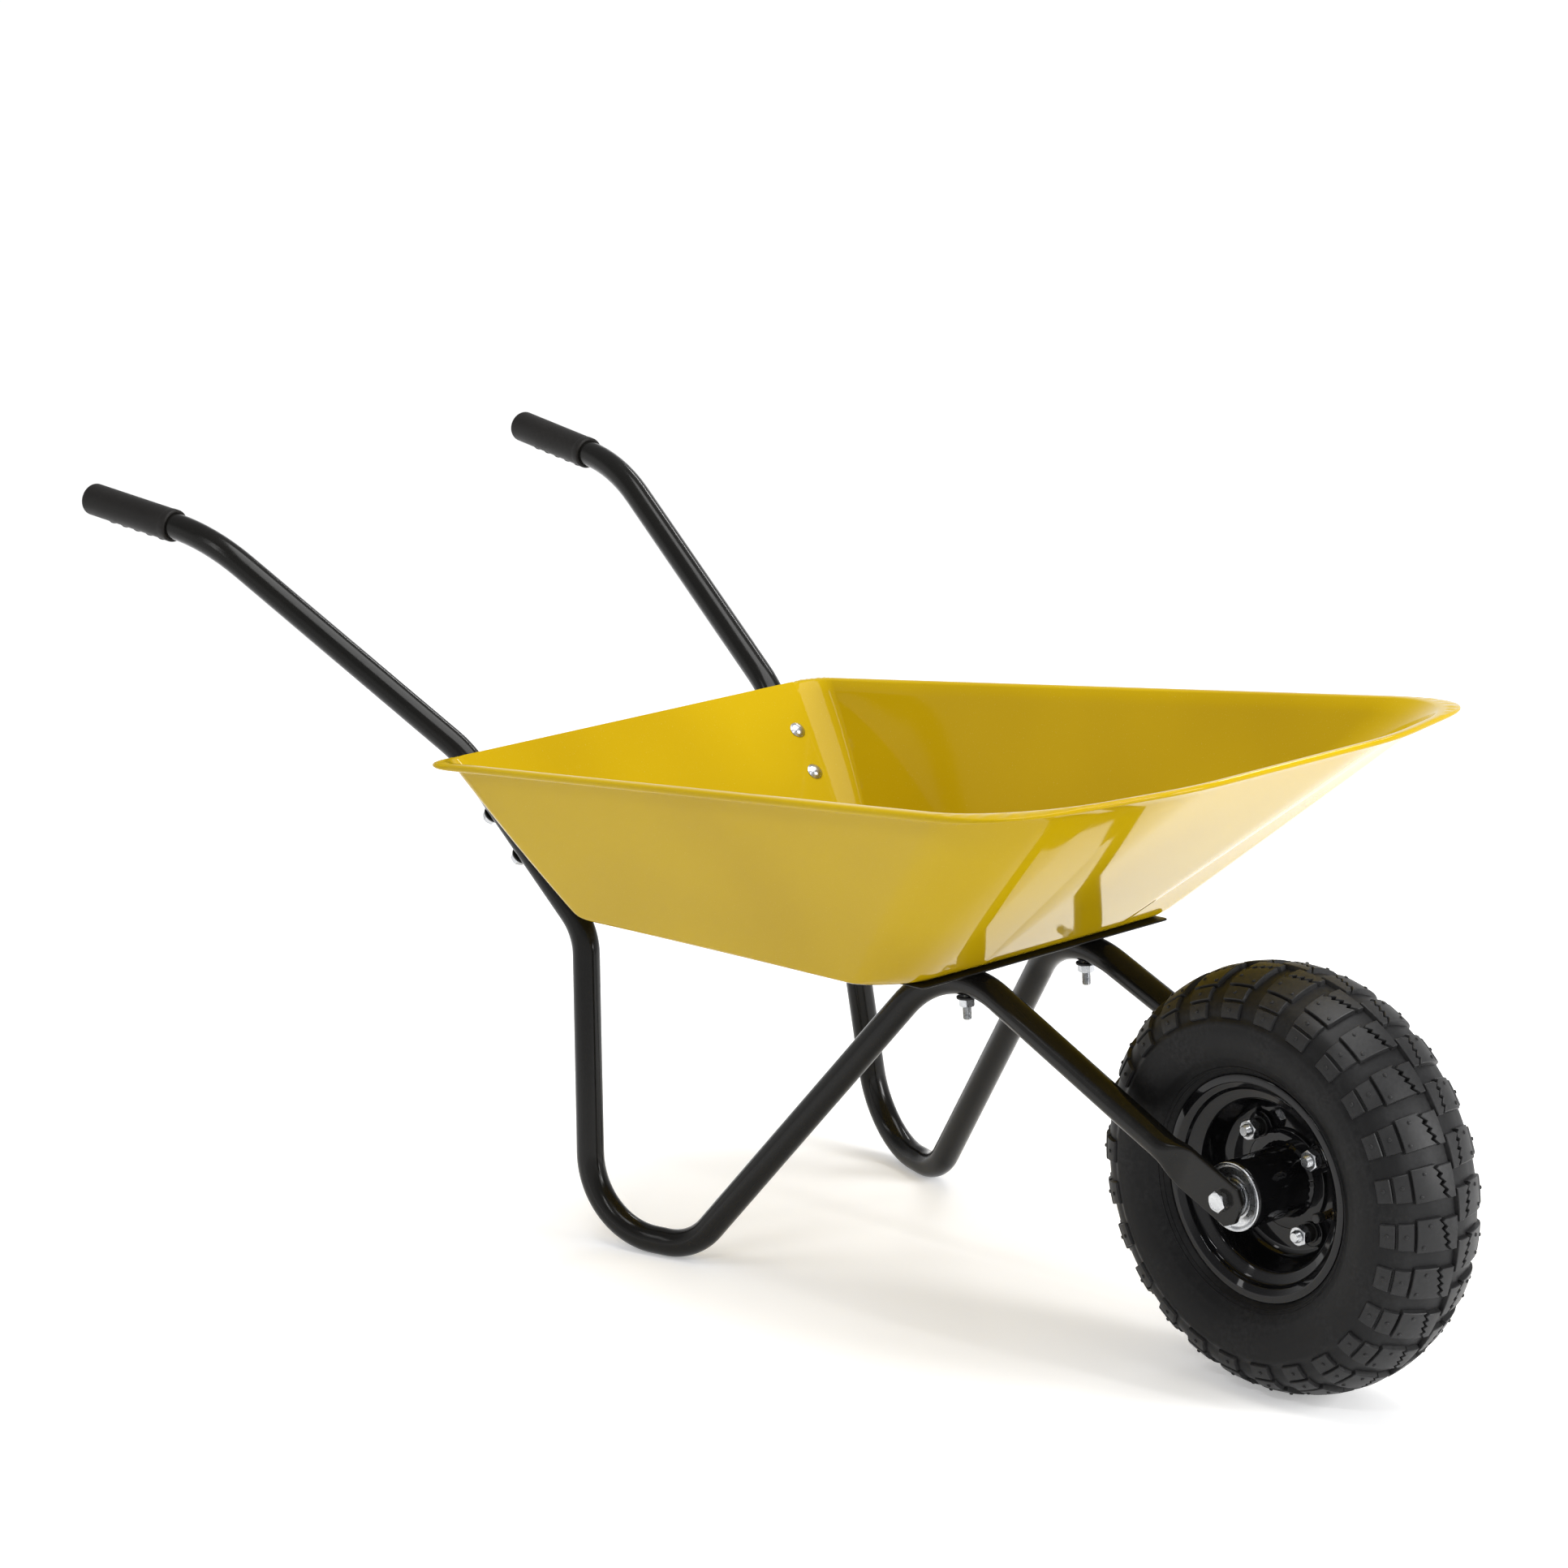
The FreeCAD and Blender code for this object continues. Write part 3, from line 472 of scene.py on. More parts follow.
def around_values(side_rear, side_front, front, rear, rear_bump, front_bump):
    """One value for each outline point, set by stretch and swelling at the corners."""
    values = []
    for kind, past_nose, t in PLACES:
        if past_nose:
            t = 1 - t
        swelling = math.sin(math.pi * t) ** 2
        if kind == "rear_corner":
            values.append(lerp(rear, side_rear, smoothstep(t)) + rear_bump * swelling)
        elif kind == "side":
            values.append(lerp(side_rear, side_front, t))
        elif kind == "front_corner":
            values.append(lerp(side_front, front, smoothstep(t)) + front_bump * swelling)
        else:
            values.append(rear if kind == "rear" else front)
    return values


FLOOR_REAR_IN, FLOOR_SIDE_IN, FLOOR_FRONT_IN = 34.0, 6.0, 13.0
FLOOR_REAR_R, FLOOR_FRONT_R = 24.0, 46.0
FLOOR_RINGS = (0.12, 0.3, 0.5, 0.7, 0.85, 0.95)
FILLET_STEPS = 8
WALL_STEPS = 14
RIM_BEND_STEPS = 4
FLANGE_STEPS = 5
SIDE_SWELL = 2.2          # the pressed side walls swell out a little
RIM_BEND_R = 3.5
FULL_BEND_FLANGE = 5.0    # a narrower flange than this has a tighter bend
CURL_STEPS = 10
CURL_TURN = math.radians(215.0)
CRIMPS = 10               # short wrinkles where the flange is stretched round a corner
CRIMP_RISE = 1.56         # a wrinkle is a quarter of this high, halfway across the flange


def crimp_at(kind, past_nose, t):
    """Height of the corner wrinkles at one outline point."""
    if kind not in ("front_corner", "rear_corner") or t == 0:
        return 0.0
    uneven = 1.0 + 0.35 * math.sin(17.0 * t + (2.0 if past_nose else 0.0))
    ripple = math.cos(2 * math.pi * CRIMPS * (t + 0.012 * math.sin(23.0 * t)))
    return CRIMP_RISE * math.sin(math.pi * t) ** 0.7 * uneven * ripple


def tray_shell():
    """The pressed sheet: flat floor, rounded base edge, leaning walls, turned-out and curled rim."""
    floor_ring = tray_level(0.0, FLOOR_REAR_IN, FLOOR_SIDE_IN, FLOOR_FRONT_IN, FLOOR_REAR_R, FLOOR_FRONT_R)
    base = tray_level(0.0)
    rim = tray_level(1.0)
    climb = around_values(6.5, 6.5, 18.0, 40.0, 4.0, 16.0)      # how far the fillet runs up the wall
    flange = around_values(8.6, 10.8, 7.0, 1.3, 10.5, 10.5)     # how far the rim stands out
    curl = around_values(2.0, 2.5, 1.0, 0.15, -0.9, -1.4)       # inner radius of the rolled edge
    droop = around_values(0.3, 0.3, 0.3, 0.0, 0.6, 1.6)         # how far the flange's edge hangs
    swell = around_values(1.0, 1.0, 0.55, 0.0, -0.3, -0.4)      # how much of SIDE_SWELL the wall has
    count = len(base)
    profiles = []
    for i in range(count):
        wall = rim[i] - base[i]
        up_wall = wall.normalized()
        tangent = (rim[(i + 1) % count] - rim[i - 1]).normalized()
        out = tangent.cross(RIM_UP).normalized()
        if out.dot(V((wall.x, wall.y, 0))) < 0:
            out = -out
        start = floor_ring[i]
        end = base[i] + up_wall * climb[i]
        weight = math.sin((start - base[i]).normalized().angle(up_wall) / 2)
        points = [bend_point(start, base[i], end, weight, t) for t in [0.0] + parts(FILLET_STEPS)]
        bend = RIM_BEND_R * min(1.0, flange[i] / FULL_BEND_FLANGE)
        top = rim[i] - up_wall * bend
        wall_normal = out - up_wall * out.dot(up_wall)
        for t in parts(WALL_STEPS):
            bulge = SIDE_SWELL * swell[i] * math.sin(math.pi * t)
            points.append(lerp(end, top, t) + wall_normal * bulge)
        under = rim[i] - RIM_UP * TRAY_T
        lip = under + out * max(bend, flange[i] - curl[i] - TRAY_T)
        turn_end = under + out * min(bend, (lip - under).length)
        points += [bend_point(top, under, turn_end, 1.0, t) for t in parts(RIM_BEND_STEPS)]
        crimp = crimp_at(*PLACES[i])
        for t in parts(FLANGE_STEPS):
            lift = crimp * t * (1 - t) - droop[i] * t * t
            points.append(lerp(turn_end, lip, t) + RIM_UP * lift)
        centre = points[-1] - RIM_UP * curl[i]
        for t in parts(CURL_STEPS):
            a = CURL_TURN * t
            points.append(centre + (RIM_UP * math.cos(a) + out * math.sin(a)) * curl[i])
        profiles.append(points)
    build = Build()
    middle = sum(floor_ring, V()) / count
    rows = [[lerp(middle, point, t) for point in floor_ring] for t in FLOOR_RINGS]
    rows += [list(row) for row in zip(*profiles)]
    build.cap(build.rows(rows), count)
    return build


tray = make("tray_shell", tray_shell(), yellow, "frame", ("tray",), 60.0)
inside = V((0.06, 0, 0.40))          # a place between the walls, to find which way the faces look
sheet = tray.modifiers.new("sheet", "SOLIDIFY")
sheet.thickness = TRAY_T * MM
probe = tray.data.polygons[len(tray.data.polygons) // 2]
sheet.offset = -1.0 if probe.normal.dot(probe.center - inside) > 0 else 1.0
sheet.use_even_offset = False

# ---- frame tubes ---------------------------------------------------------
TUBE_SIDES = 40
ARC_STEP = math.radians(3.0)
LEAST_ARC_STEPS = 4
RUN_STEPS = 4
LAST_RUN_STEPS = 6
FLATTEN_STEPS = 16
FLAT_STEPS = 8
TIP_STEPS = 6
ROUND, SQUARE = 2.0, 9.0      # powers of the section's outline
TIP_EDGE = 0.5                # the cut end's softened edge


def tube_stations():
    """(place, tangent, half height, half thickness, squareness) along the left-hand tube."""
    last_run = (AXLE_END - PEAK).normalized()
    flat_start = AXLE_END - last_run * FLAT_START
    points = [GRIP_END, HANDLE_BEND, RIM_BEND, LEG_TOP, FOOT_REAR, FOOT_FRONT, PEAK, flat_start]
    line = []
    start = points[0]
    for before, corner, after, radius in zip(points, points[1:], points[2:], BEND_RADII):
        into, away, turn, centre = bend_of(before, corner, after, radius)
        arc = arc_points(before, corner, after, radius, max(LEAST_ARC_STEPS, int(turn / ARC_STEP)))
        line += [(lerp(start, arc[0], k / RUN_STEPS), into) for k in range(RUN_STEPS)]
        normal = into.cross(away).normalized()
        line += [(point, normal.cross(point - centre).normalized()) for point in arc[:-1]]
        start = arc[-1]
    line += [(lerp(start, flat_start, k / LAST_RUN_STEPS), last_run) for k in range(LAST_RUN_STEPS)]
    stations = [(place, tangent, TUBE_R, TUBE_R, ROUND) for place, tangent in line]
    flat_run = V((last_run.x, 0, last_run.z)).normalized()
    flat_place = AXLE_END - flat_run * FLAT_FULL
    for t in [0.0] + parts(FLATTEN_STEPS):
        ease = smoothstep(t)
        stations.append((lerp(flat_start, flat_place, t), lerp(last_run, flat_run, ease).normalized(),
                         lerp(TUBE_R, FORK_HALF_H, ease), lerp(TUBE_R, FORK_HALF_T, ease),
                         ROUND + (SQUARE - ROUND) * ease ** 2))
    tip_start = TIP_REACH - TIP_CORNER
    for t in parts(FLAT_STEPS):
        place = lerp(flat_place, AXLE_END + flat_run * tip_start, t)
        stations.append((place, flat_run, FORK_HALF_H, FORK_HALF_T, SQUARE))
    for t in parts(TIP_STEPS):
        place = AXLE_END + flat_run * lerp(tip_start, TIP_REACH - TIP_EDGE, t)
        stations.append((place, flat_run, FORK_HALF_H - TIP_CORNER * 0.95 * t, FORK_HALF_T, SQUARE))
    for back, narrower, thick, power in ((0.0, 0.6, FORK_HALF_T - TIP_EDGE, SQUARE), (0.0, 1.6, 0.35, 5.0),
                                         (1.5, 2.0, 0.25, 5.0)):
        high = FORK_HALF_H - TIP_CORNER - narrower
        stations.append((AXLE_END + flat_run * (TIP_REACH - back), flat_run, high, thick, power))
    return stations


def frame_tube():
    """The left tube as one skin, round along its length and flat at the fork end."""
    rows = []
    for place, tangent, high, thick, power in tube_stations():
        side = (Y_AXIS - tangent * tangent.dot(Y_AXIS)).normalized()
        up = side.cross(tangent)
        row = []
        for a in angles(TUBE_SIDES):
            c, s = math.cos(a), math.sin(a)
            row.append(place + side * math.copysign(abs(c) ** (2 / power), c) * thick
                       + up * math.copysign(abs(s) ** (2 / power), s) * high)
        rows.append(row)
    return Build().tube(rows)


def mirrored(build):
    """The same shape on the other side of the middle plane."""
    other = Build()
    other.verts = [flip(v) for v in build.verts]
    other.faces = [tuple(reversed(face)) for face in build.faces]
    return other


tube_build = frame_tube()
for side, build in (("left", tube_build), ("right", mirrored(tube_build))):
    make("tube_" + side, build, black, "frame", ("frame_tube_" + side,), 38.0)

# ---- grips ---------------------------------------------------------------
GRIP_SIDES = 64
GRIP_DOME = 5.0
GRIP_CORNER = 5.6
GRIP_ROWS = 97
GRIP_ROW_STEP = 1.1
NUB_COUNT = 5
NUB_FIRST = 34.0
NUB_STEP = 17.5
NUB_R = 4.2
NUB_H = 1.7


def nub_rise(across_mm, along_mm):
    """How far the grip's skin stands up at a place, measured from the middle of its underside."""
    rise = 0.0
    for n in range(NUB_COUNT):
        distance = math.hypot(across_mm, along_mm - (NUB_FIRST + NUB_STEP * n)) / NUB_R
        if distance < 1:
            rise = NUB_H * math.sqrt(1 - distance ** 3)
    return rise


def grip():
    """Rubber sleeve with a rounded closed end and a row of nubs for the fingers on its underside."""
    axis = (HANDLE_BEND - GRIP_END).normalized()
    back = GRIP_END - axis * GRIP_DOME
    side = (Y_AXIS - axis * axis.dot(Y_AXIS)).normalized()
    down = axis.cross(side).normalized()
    if down.z > 0:
        down = -down
    profile = [(0.01, 0.0), (4.0, 0.05), (8.0, 0.5)]
    for k in range(2, 10):
        a = math.radians(10.0 * k)
        profile.append((GRIP_R - GRIP_CORNER + GRIP_CORNER * math.sin(a), GRIP_CORNER - 4.9 * math.cos(a)))
    profile += [(GRIP_R, GRIP_CORNER + GRIP_ROW_STEP * k) for k in range(1, GRIP_ROWS + 1)]
    profile += [(GRIP_R + 0.25, profile[-1][1] + 1.0), (GRIP_R + 0.3, GRIP_L - 2.0),
                (GRIP_R + 0.1, GRIP_L - 0.7), (GRIP_R - 0.6, GRIP_L), (TUBE_R + 0.4, GRIP_L),
                (TUBE_R - 0.2, GRIP_L - 0.5)]
    rows = []
    for r, h in profile:
        row = []
        for a in angles(GRIP_SIDES):
            across_mm = math.atan2(math.sin(a), math.cos(a)) * GRIP_R
            out = down * math.cos(a) + side * math.sin(a)
            row.append(back + axis * h + out * (r + nub_rise(across_mm, h)))
        rows.append(row)
    return Build().tube(rows)


grip_build = grip()
for side, build in (("left", grip_build), ("right", mirrored(grip_build))):
    make("handle_grip_" + side, build, grip_rubber, "frame", ("grip_" + side,), 50.0)

# ---- cross plate ---------------------------------------------------------
PLATE_EDGE_STEPS = 10
PLATE_CORNER = 4.0
PLATE_CORNER_STEPS = 6


def cross_plate():
    """Thin strap under the tray's base, with rounded corners and half-round edges."""
    top = V((PLATE_REAR_X, 0, base_z(PLATE_REAR_X) - 0.1))
    half_w = (PLATE_FRONT_X - PLATE_REAR_X) / math.cos(BASE_SLOPE) / 2
    flat = rounded([(-half_w, -PLATE_HALF_L), (half_w, -PLATE_HALF_L), (half_w, PLATE_HALF_L),
                    (-half_w, PLATE_HALF_L)], PLATE_CORNER, True, PLATE_CORNER_STEPS)
    edge_r = PLATE_T / 2
    rows = []
    for k in range(PLATE_EDGE_STEPS + 1):
        a = math.pi * k / PLATE_EDGE_STEPS
        shrink, depth = edge_r * (1 - math.sin(a)), edge_r * (1 - math.cos(a))
        row = []
        for u, v in flat:
            u_in, v_in = math.copysign(abs(u) - shrink, u), math.copysign(abs(v) - shrink, v)
            row.append(top + BASE_ALONG * (half_w + u_in) + Y_AXIS * v_in + BASE_DOWN * depth)
        rows.append(row)
    return Build().tube(rows)


make("plate_strap", cross_plate(), black, "frame", ("cross_plate",), 40.0)

# ---- fasteners -----------------------------------------------------------
THREAD_SIDES = 30
THREAD_STEPS = 8          # rows in each pitch
THREAD_DEPTH = 0.58       # of the pitch
HEX_STEPS = 8
HEX_ROUND = 0.96          # the turned-off face, as part of the width across flats
WASHER_SIDES = 48
DOME_R, DOME_SINK = 10.0, 6.0
SHANK_L = 14.0            # the plain part of a tray bolt


def threaded(build, origin, axis, radius, low, high, pitch):
    """A screw thread between two heights, with a chamfered end at the higher one."""
    side, up = across(axis)
    rows = []
    step = pitch / THREAD_STEPS
    count = int((high - low) / step)
    for j in range(count + 1):
        h = low + j * step
        chamfer = max(0.0, h - (high - pitch * 0.9)) * 0.9
        row = []
        for a in angles(THREAD_SIDES):
            turn = (h / pitch - a / (2 * math.pi)) % 1.0
            tooth = abs(turn - 0.5) * 2
            groove = THREAD_DEPTH * pitch * min(1.0, max(0.0, 1.08 - tooth * 1.2))
            r = radius - max(groove, chamfer)
            row.append(origin + axis * h + (side * math.cos(a) + up * math.sin(a)) * r)
        rows.append(row)
    middle = origin + axis * (low + count * step)
    rows.append([lerp(middle, p, 0.6) for p in rows[-1]])
    build.tube(rows)


def hexagon(build, origin, axis, flats, height, bore=0.0, phase=0.0):
    """A nut, or a head if it has no bore, whose corners are turned off in a cone, as on real ones."""
    side, up = across(axis)
    round_r = flats / 2 * HEX_ROUND
    columns = []
    for a in angles(6 * HEX_STEPS):
        corner_r = flats / 2 / math.cos(a % (math.pi / 3) - math.pi / 6)
        cone = (corner_r - round_r) * math.tan(math.radians(30))
        profile = [(round_r, 0.0), (corner_r, cone)] if bore else [(corner_r, 0.0)]
        profile += [(corner_r, height - cone), (round_r, height)]
        if bore:
            wide, narrow = bore + 0.5, bore - 0.3
            profile += [(wide, height), (narrow, height - 0.9), (narrow, 0.9), (wide, 0.0)]
        else:
            profile += [(round_r * 0.86, height), (round_r * 0.82, height - 0.25)]
        out = side * math.cos(a + phase) + up * math.sin(a + phase)
        columns.append([origin + axis * h + out * r for r, h in profile])
    rows = [list(row) for row in zip(*columns)]
    if bore:
        build.loop(rows)
    else:
        build.tube(rows)


def washer(build, origin, axis, inner, outer, thickness, edge=0.35):
    profile = rounded([(inner, 0.0), (outer, 0.0), (outer, thickness), (inner, thickness)], edge, True, 3)
    build.spin(origin, axis, profile, WASHER_SIDES)


def carriage_head(build, seat, axis):
    """Shallow domed head whose underside rests on the seat, dome pointing against the axis."""
    edge = math.sqrt(DOME_R ** 2 - DOME_SINK ** 2)
    profile = [(edge - 0.4, 0.0), (edge, -0.3)]
    for k in range(1, 9):
        z = lerp(DOME_SINK + 0.3, DOME_R, (k / 9) ** 0.8)
        profile.append((math.sqrt(DOME_R ** 2 - z ** 2), DOME_SINK - z))
    profile.append((0.05, DOME_SINK - DOME_R))
    build.spin(seat, axis, profile, 40, True)


def peak_top():
    """Centre-line point of the peak bend whose run is parallel to the tray's base."""
    into, away, _, centre = bend_of(FOOT_FRONT, PEAK, AXLE_END, BEND_RADII[5])
    radial = into.cross(away).normalized().cross(BASE_ALONG).normalized()
    if radial.z < 0:
        radial = -radial
    return centre + radial * BEND_RADII[5]


REAR_BOLT_PARTS = (0.30, 0.53)
REAR_BOLT_L = 41.0
FRONT_BOLT_L = 50.0
REAR_WASHER_AT = TUBE_R + 0.1
FRONT_WASHER_AT = TUBE_R + 0.8
WASHER_IN_R, WASHER_OUT_R = 4.4, 9.0
WASHER_T = 2.0
NUT_FLATS = 13.0
NUT_L = 6.8

rear_left = [RIM_BEND + WALL_RUN * part for part in REAR_BOLT_PARTS]
rear_centres = rear_left + [flip(point) for point in rear_left]
rear_seats = [point - WALL_OUT * (TUBE_TO_WALL + TRAY_T + 0.3) for point in rear_centres]
front_centres = [peak_top(), flip(peak_top())]


def floor_seat(centre):
    """The place on the tray's floor above a point of the tube, a little sunk."""
    rise = (base_z(centre.x) + TRAY_T - centre.z) * math.cos(BASE_SLOPE)
    return centre - BASE_DOWN * (rise - 0.2)


def fastener_set(prefix, centres, axis, seats, length, washer_at, turns):
    """Bolts with domed heads, washers and nuts of one group."""
    bolts, washers, nuts = Build(), Build(), Build()
    for centre, seat, turn in zip(centres, seats, turns):
        carriage_head(bolts, seat, axis)
        bolts.spin(seat, axis, [(M8_R, 0.0), (M8_R, SHANK_L)], 24, True)
        threaded(bolts, seat, axis, M8_R, SHANK_L, length, M8_PITCH)
        washer(washers, centre + axis * washer_at, axis, WASHER_IN_R, WASHER_OUT_R, WASHER_T)
        hexagon(nuts, centre + axis * (washer_at + WASHER_T + 0.1), axis, NUT_FLATS, NUT_L, M8_R, turn)
    make(prefix + "_bolt_set", bolts, zinc, "frame", (prefix + "_tray_bolts",), 40.0)
    make(prefix + "_washer_set", washers, washer_black, "frame", (prefix + "_tray_washers",))
    make(prefix + "_nut_set", nuts, zinc, "frame", (prefix + "_tray_nuts",), 25.0)


fastener_set("rear", rear_centres, WALL_OUT, rear_seats, REAR_BOLT_L, REAR_WASHER_AT, (0.3, 0.9, 0.15, 0.7))
fastener_set("front", front_centres, BASE_DOWN, [floor_seat(point) for point in front_centres],
             FRONT_BOLT_L, FRONT_WASHER_AT, (0.2, 0.75))

# ---- axle ----------------------------------------------------------------
FORK_OUT = FORK_Y + FORK_HALF_T
AXLE_WASHER_R = 11.0
AXLE_WASHER_T = 2.0
AXLE_TIP = 14.0
COLLAR_IN_R, COLLAR_OUT_R, COLLAR_L = 9.05, 13.0, 9.9


def on_axle(y, r=0.0, angle=0.0):
    return AXLE + V((r * math.cos(angle), y, r * math.sin(angle)))


def axle_rows(profile, sides, sign=1):
    """(radius, y) points turned about the axle."""
    return [[on_axle(sign * y, r, a) for a in angles(sides)] for r, y in profile]


axle_bolt = Build()
hexagon(axle_bolt, on_axle(-FORK_OUT - 0.1), -Y_AXIS, M10_FLATS, M10_HEAD_L, phase=0.28)
axle_bolt.spin(on_axle(-FORK_OUT - 0.2), Y_AXIS, [(M10_R, 0.0), (M10_R, 2 * FORK_OUT - 1.0)], 40, True)
threaded(axle_bolt, on_axle(FORK_OUT - 2.0), Y_AXIS, M10_R, 0.0, AXLE_TIP + 1.8, M10_PITCH)
make("axle_bolt_real", axle_bolt, zinc, "frame", ("axle_bolt",), 30.0)
axle_washer = Build()
washer(axle_washer, on_axle(FORK_OUT + 0.1), Y_AXIS, M10_R + 0.3, AXLE_WASHER_R, AXLE_WASHER_T)
make("axle_washer_round", axle_washer, zinc, "frame", ("axle_washer",))
axle_nut = Build()
nut_place = on_axle(FORK_OUT + AXLE_WASHER_T + 0.2)
hexagon(axle_nut, nut_place, Y_AXIS, M10_FLATS, M10_NUT_L, M10_R, 0.5)
make("axle_nut_hex", axle_nut, zinc, "frame", ("axle_nut",), 25.0)
collars = Build()
for sign in (1, -1):
    end = on_axle(sign * (HUB_HALF_L + 0.2))
    washer(collars, end, Y_AXIS * sign, COLLAR_IN_R, COLLAR_OUT_R, COLLAR_L, 0.5)
make("axle_collars", collars, zinc, "frame", ("spacer_collars",))

# ---- wheel: hub ----------------------------------------------------------
HUB_SIDES = 144
HUB_ROWS = 51
HUB_ROW_STEP = 1.13
DENT_Y = 37.0
DENT_HALF_L = 9.5
DENT_HALF_W = 4.2
DENT_DEPTH = 1.5
DENT_ANGLES = [math.radians(a) for a in (20.0, 62.0, 140.0, 200.0, 262.0, 320.0)]
LOBE_R = 13.0
DISC_R = 43.0
LOBE_BLEND = 1.6          # how softly a lobe runs into the disc
HUB_BORE_R = 24.6
SEAT_R, SEAT_Y = 26.5, 56.0      # the bearing's seat in the sleeve's end
FLANGE_LOW, FLANGE_HIGH = 2.4, 5.4
WELD_TOP = 8.8
WELD_RIPPLE = 0.35
WELD_RINGS = ((3.2, FLANGE_HIGH), (3.0, 5.9), (2.2, 6.6), (1.3, 7.4), (0.5, 8.2), (0.0, WELD_TOP))


def turned_from(angle, other):
    """Signed angle from one direction to another, at most half a turn."""
    return math.atan2(math.sin(angle - other), math.cos(angle - other))


def lobed_radius(angle):
    """Outer edge of the hub flange: a disc with a smoothly blended lobe at each bolt."""
    total = math.exp(DISC_R / LOBE_BLEND)
    for bolt in HUB_BOLT_ANGLES:
        delta = turned_from(angle, bolt)
        across_lobe = HUB_BOLT_R * math.sin(delta)
        if abs(delta) < 1.2 and abs(across_lobe) < LOBE_R:
            reach = HUB_BOLT_R * math.cos(delta) + math.sqrt(LOBE_R ** 2 - across_lobe ** 2)
            total += math.exp(reach / LOBE_BLEND)
    return min(LOBE_BLEND * math.log(total), HUB_BOLT_R + LOBE_R)


def sleeve_dip(y, angle):
    """Depth of the stamped dents at a place on the sleeve."""
    along = (y - DENT_Y) / DENT_HALF_L
    if abs(along) >= 1:
        return 0.0
    dip = 0.0
    width = DENT_HALF_W * (1 - along ** 2)
    for dent in DENT_ANGLES:
        delta = turned_from(angle, dent) * HUB_R
        if abs(delta) < width:
            dip = DENT_DEPTH * (1 - (delta / width) ** 2) * (1 - along ** 2)
    return dip


def hub(sign):
    """Sleeve with stamped dents and a weld bead, and the lobed flange."""
    build = Build()
    profile = [(HUB_R + more, y) for more, y in WELD_RINGS]
    profile += [(HUB_R, WELD_TOP + HUB_ROW_STEP * k) for k in range(1, HUB_ROWS + 1)]
    profile += [(HUB_R - 0.3, HUB_HALF_L - 0.6), (HUB_R - 1.0, HUB_HALF_L), (SEAT_R + 0.6, HUB_HALF_L),
                (SEAT_R, HUB_HALF_L - 0.6), (SEAT_R, SEAT_Y), (HUB_BORE_R, SEAT_Y),
                (HUB_BORE_R, FLANGE_LOW), (HUB_R, FLANGE_LOW)]
    rows = []
    for r, y in profile:
        row = []
        for a in angles(HUB_SIDES):
            ripple = 0.0
            if FLANGE_LOW < y < WELD_TOP:
                ripple = WELD_RIPPLE * math.sin(a * 34) * math.sin(a * 5 + 1)
            row.append(on_axle(sign * y, r - sleeve_dip(y, a) + ripple, a))
        rows.append(row)
    build.loop(rows)
    inner_r = HUB_R + 2.0
    edge = [lobed_radius(a) for a in angles(2 * HUB_SIDES)]
    halfway = [lerp(inner_r, r, 0.5) for r in edge]
    rings = [(HUB_BORE_R, FLANGE_LOW), (HUB_BORE_R, FLANGE_HIGH), (inner_r, FLANGE_HIGH),
             (halfway, FLANGE_HIGH)]
    for inward, y in ((1.0, FLANGE_HIGH), (0.4, FLANGE_HIGH - 0.15), (0.0, FLANGE_HIGH - 0.7),
                      (0.0, FLANGE_LOW + 0.5), (0.3, FLANGE_LOW + 0.1), (0.8, FLANGE_LOW)):
        rings.append(([r - inward for r in edge], y))
    rings.append((inner_r, FLANGE_LOW))
    rows = []
    for radii, y in rings:
        if not isinstance(radii, list):
            radii = [radii] * len(edge)
        rows.append([on_axle(sign * y, r, a) for r, a in zip(radii, angles(2 * HUB_SIDES))])
    return build.loop(rows)


for side, sign in (("left", 1), ("right", -1)):
    make("hub_sleeve_" + side, hub(sign), rim_black, "wheel", ("hub_" + side,), 40.0)

COVER_SECTION = ((14.0, 0.1), (28.6, 0.1), (29.5, 0.9), (29.3, 2.2), (28.4, 2.45), (27.2, 2.2), (25.2, 0.95),
                 (19.0, 0.8), (17.4, 1.4), (16.2, 1.4), (15.0, 0.9), (14.0, 0.9))
for side, sign in (("left", 1), ("right", -1)):
    cover = Build()
    cover.spin(on_axle(sign * (HUB_HALF_L + 0.05)), Y_AXIS * sign, rounded(COVER_SECTION, 0.7, True, 4), 96)
    make("bearing_cover_" + side, cover, zinc, "wheel", ("dust_cover_" + side,), 50.0)

# ---- wheel: rim ----------------------------------------------------------
RIM_SIDES = 144


def rim(sign):
    """Dished pressing with a rolled lip, as one closed sheet section."""
    inner = [(30.0, 0.1), (64.0, 0.1), (69.5, 6.0), (72.0, 15.0), (75.0, 29.0), (85.0, 33.0), (86.5, 38.0),
             (91.0, 41.0), (96.0, 41.0)]
    outer = [(30.0, 2.1), (63.0, 2.1), (67.6, 6.8), (70.0, 15.4), (73.3, 30.4), (83.5, 34.6), (84.9, 39.2),
             (90.4, 43.0), (96.0, 43.0)]
    inner = rounded(inner, [0, 6, 5, 20, 4, 4, 2.5, 2, 0], False, 6)
    outer = rounded(outer, [0, 8, 6, 20, 5, 5, 3, 2.5, 0], False, 6)
    lip = [(96.6, 41.1), (97.0, 41.6), (97.0, 42.3), (96.6, 42.8)]
    return Build().loop(axle_rows(inner + lip + outer[::-1], RIM_SIDES, sign))


for side, sign in (("left", 1), ("right", -1)):
    make("rim_dish_" + side, rim(sign), rim_black, "wheel", ("rim_" + side,), 45.0)

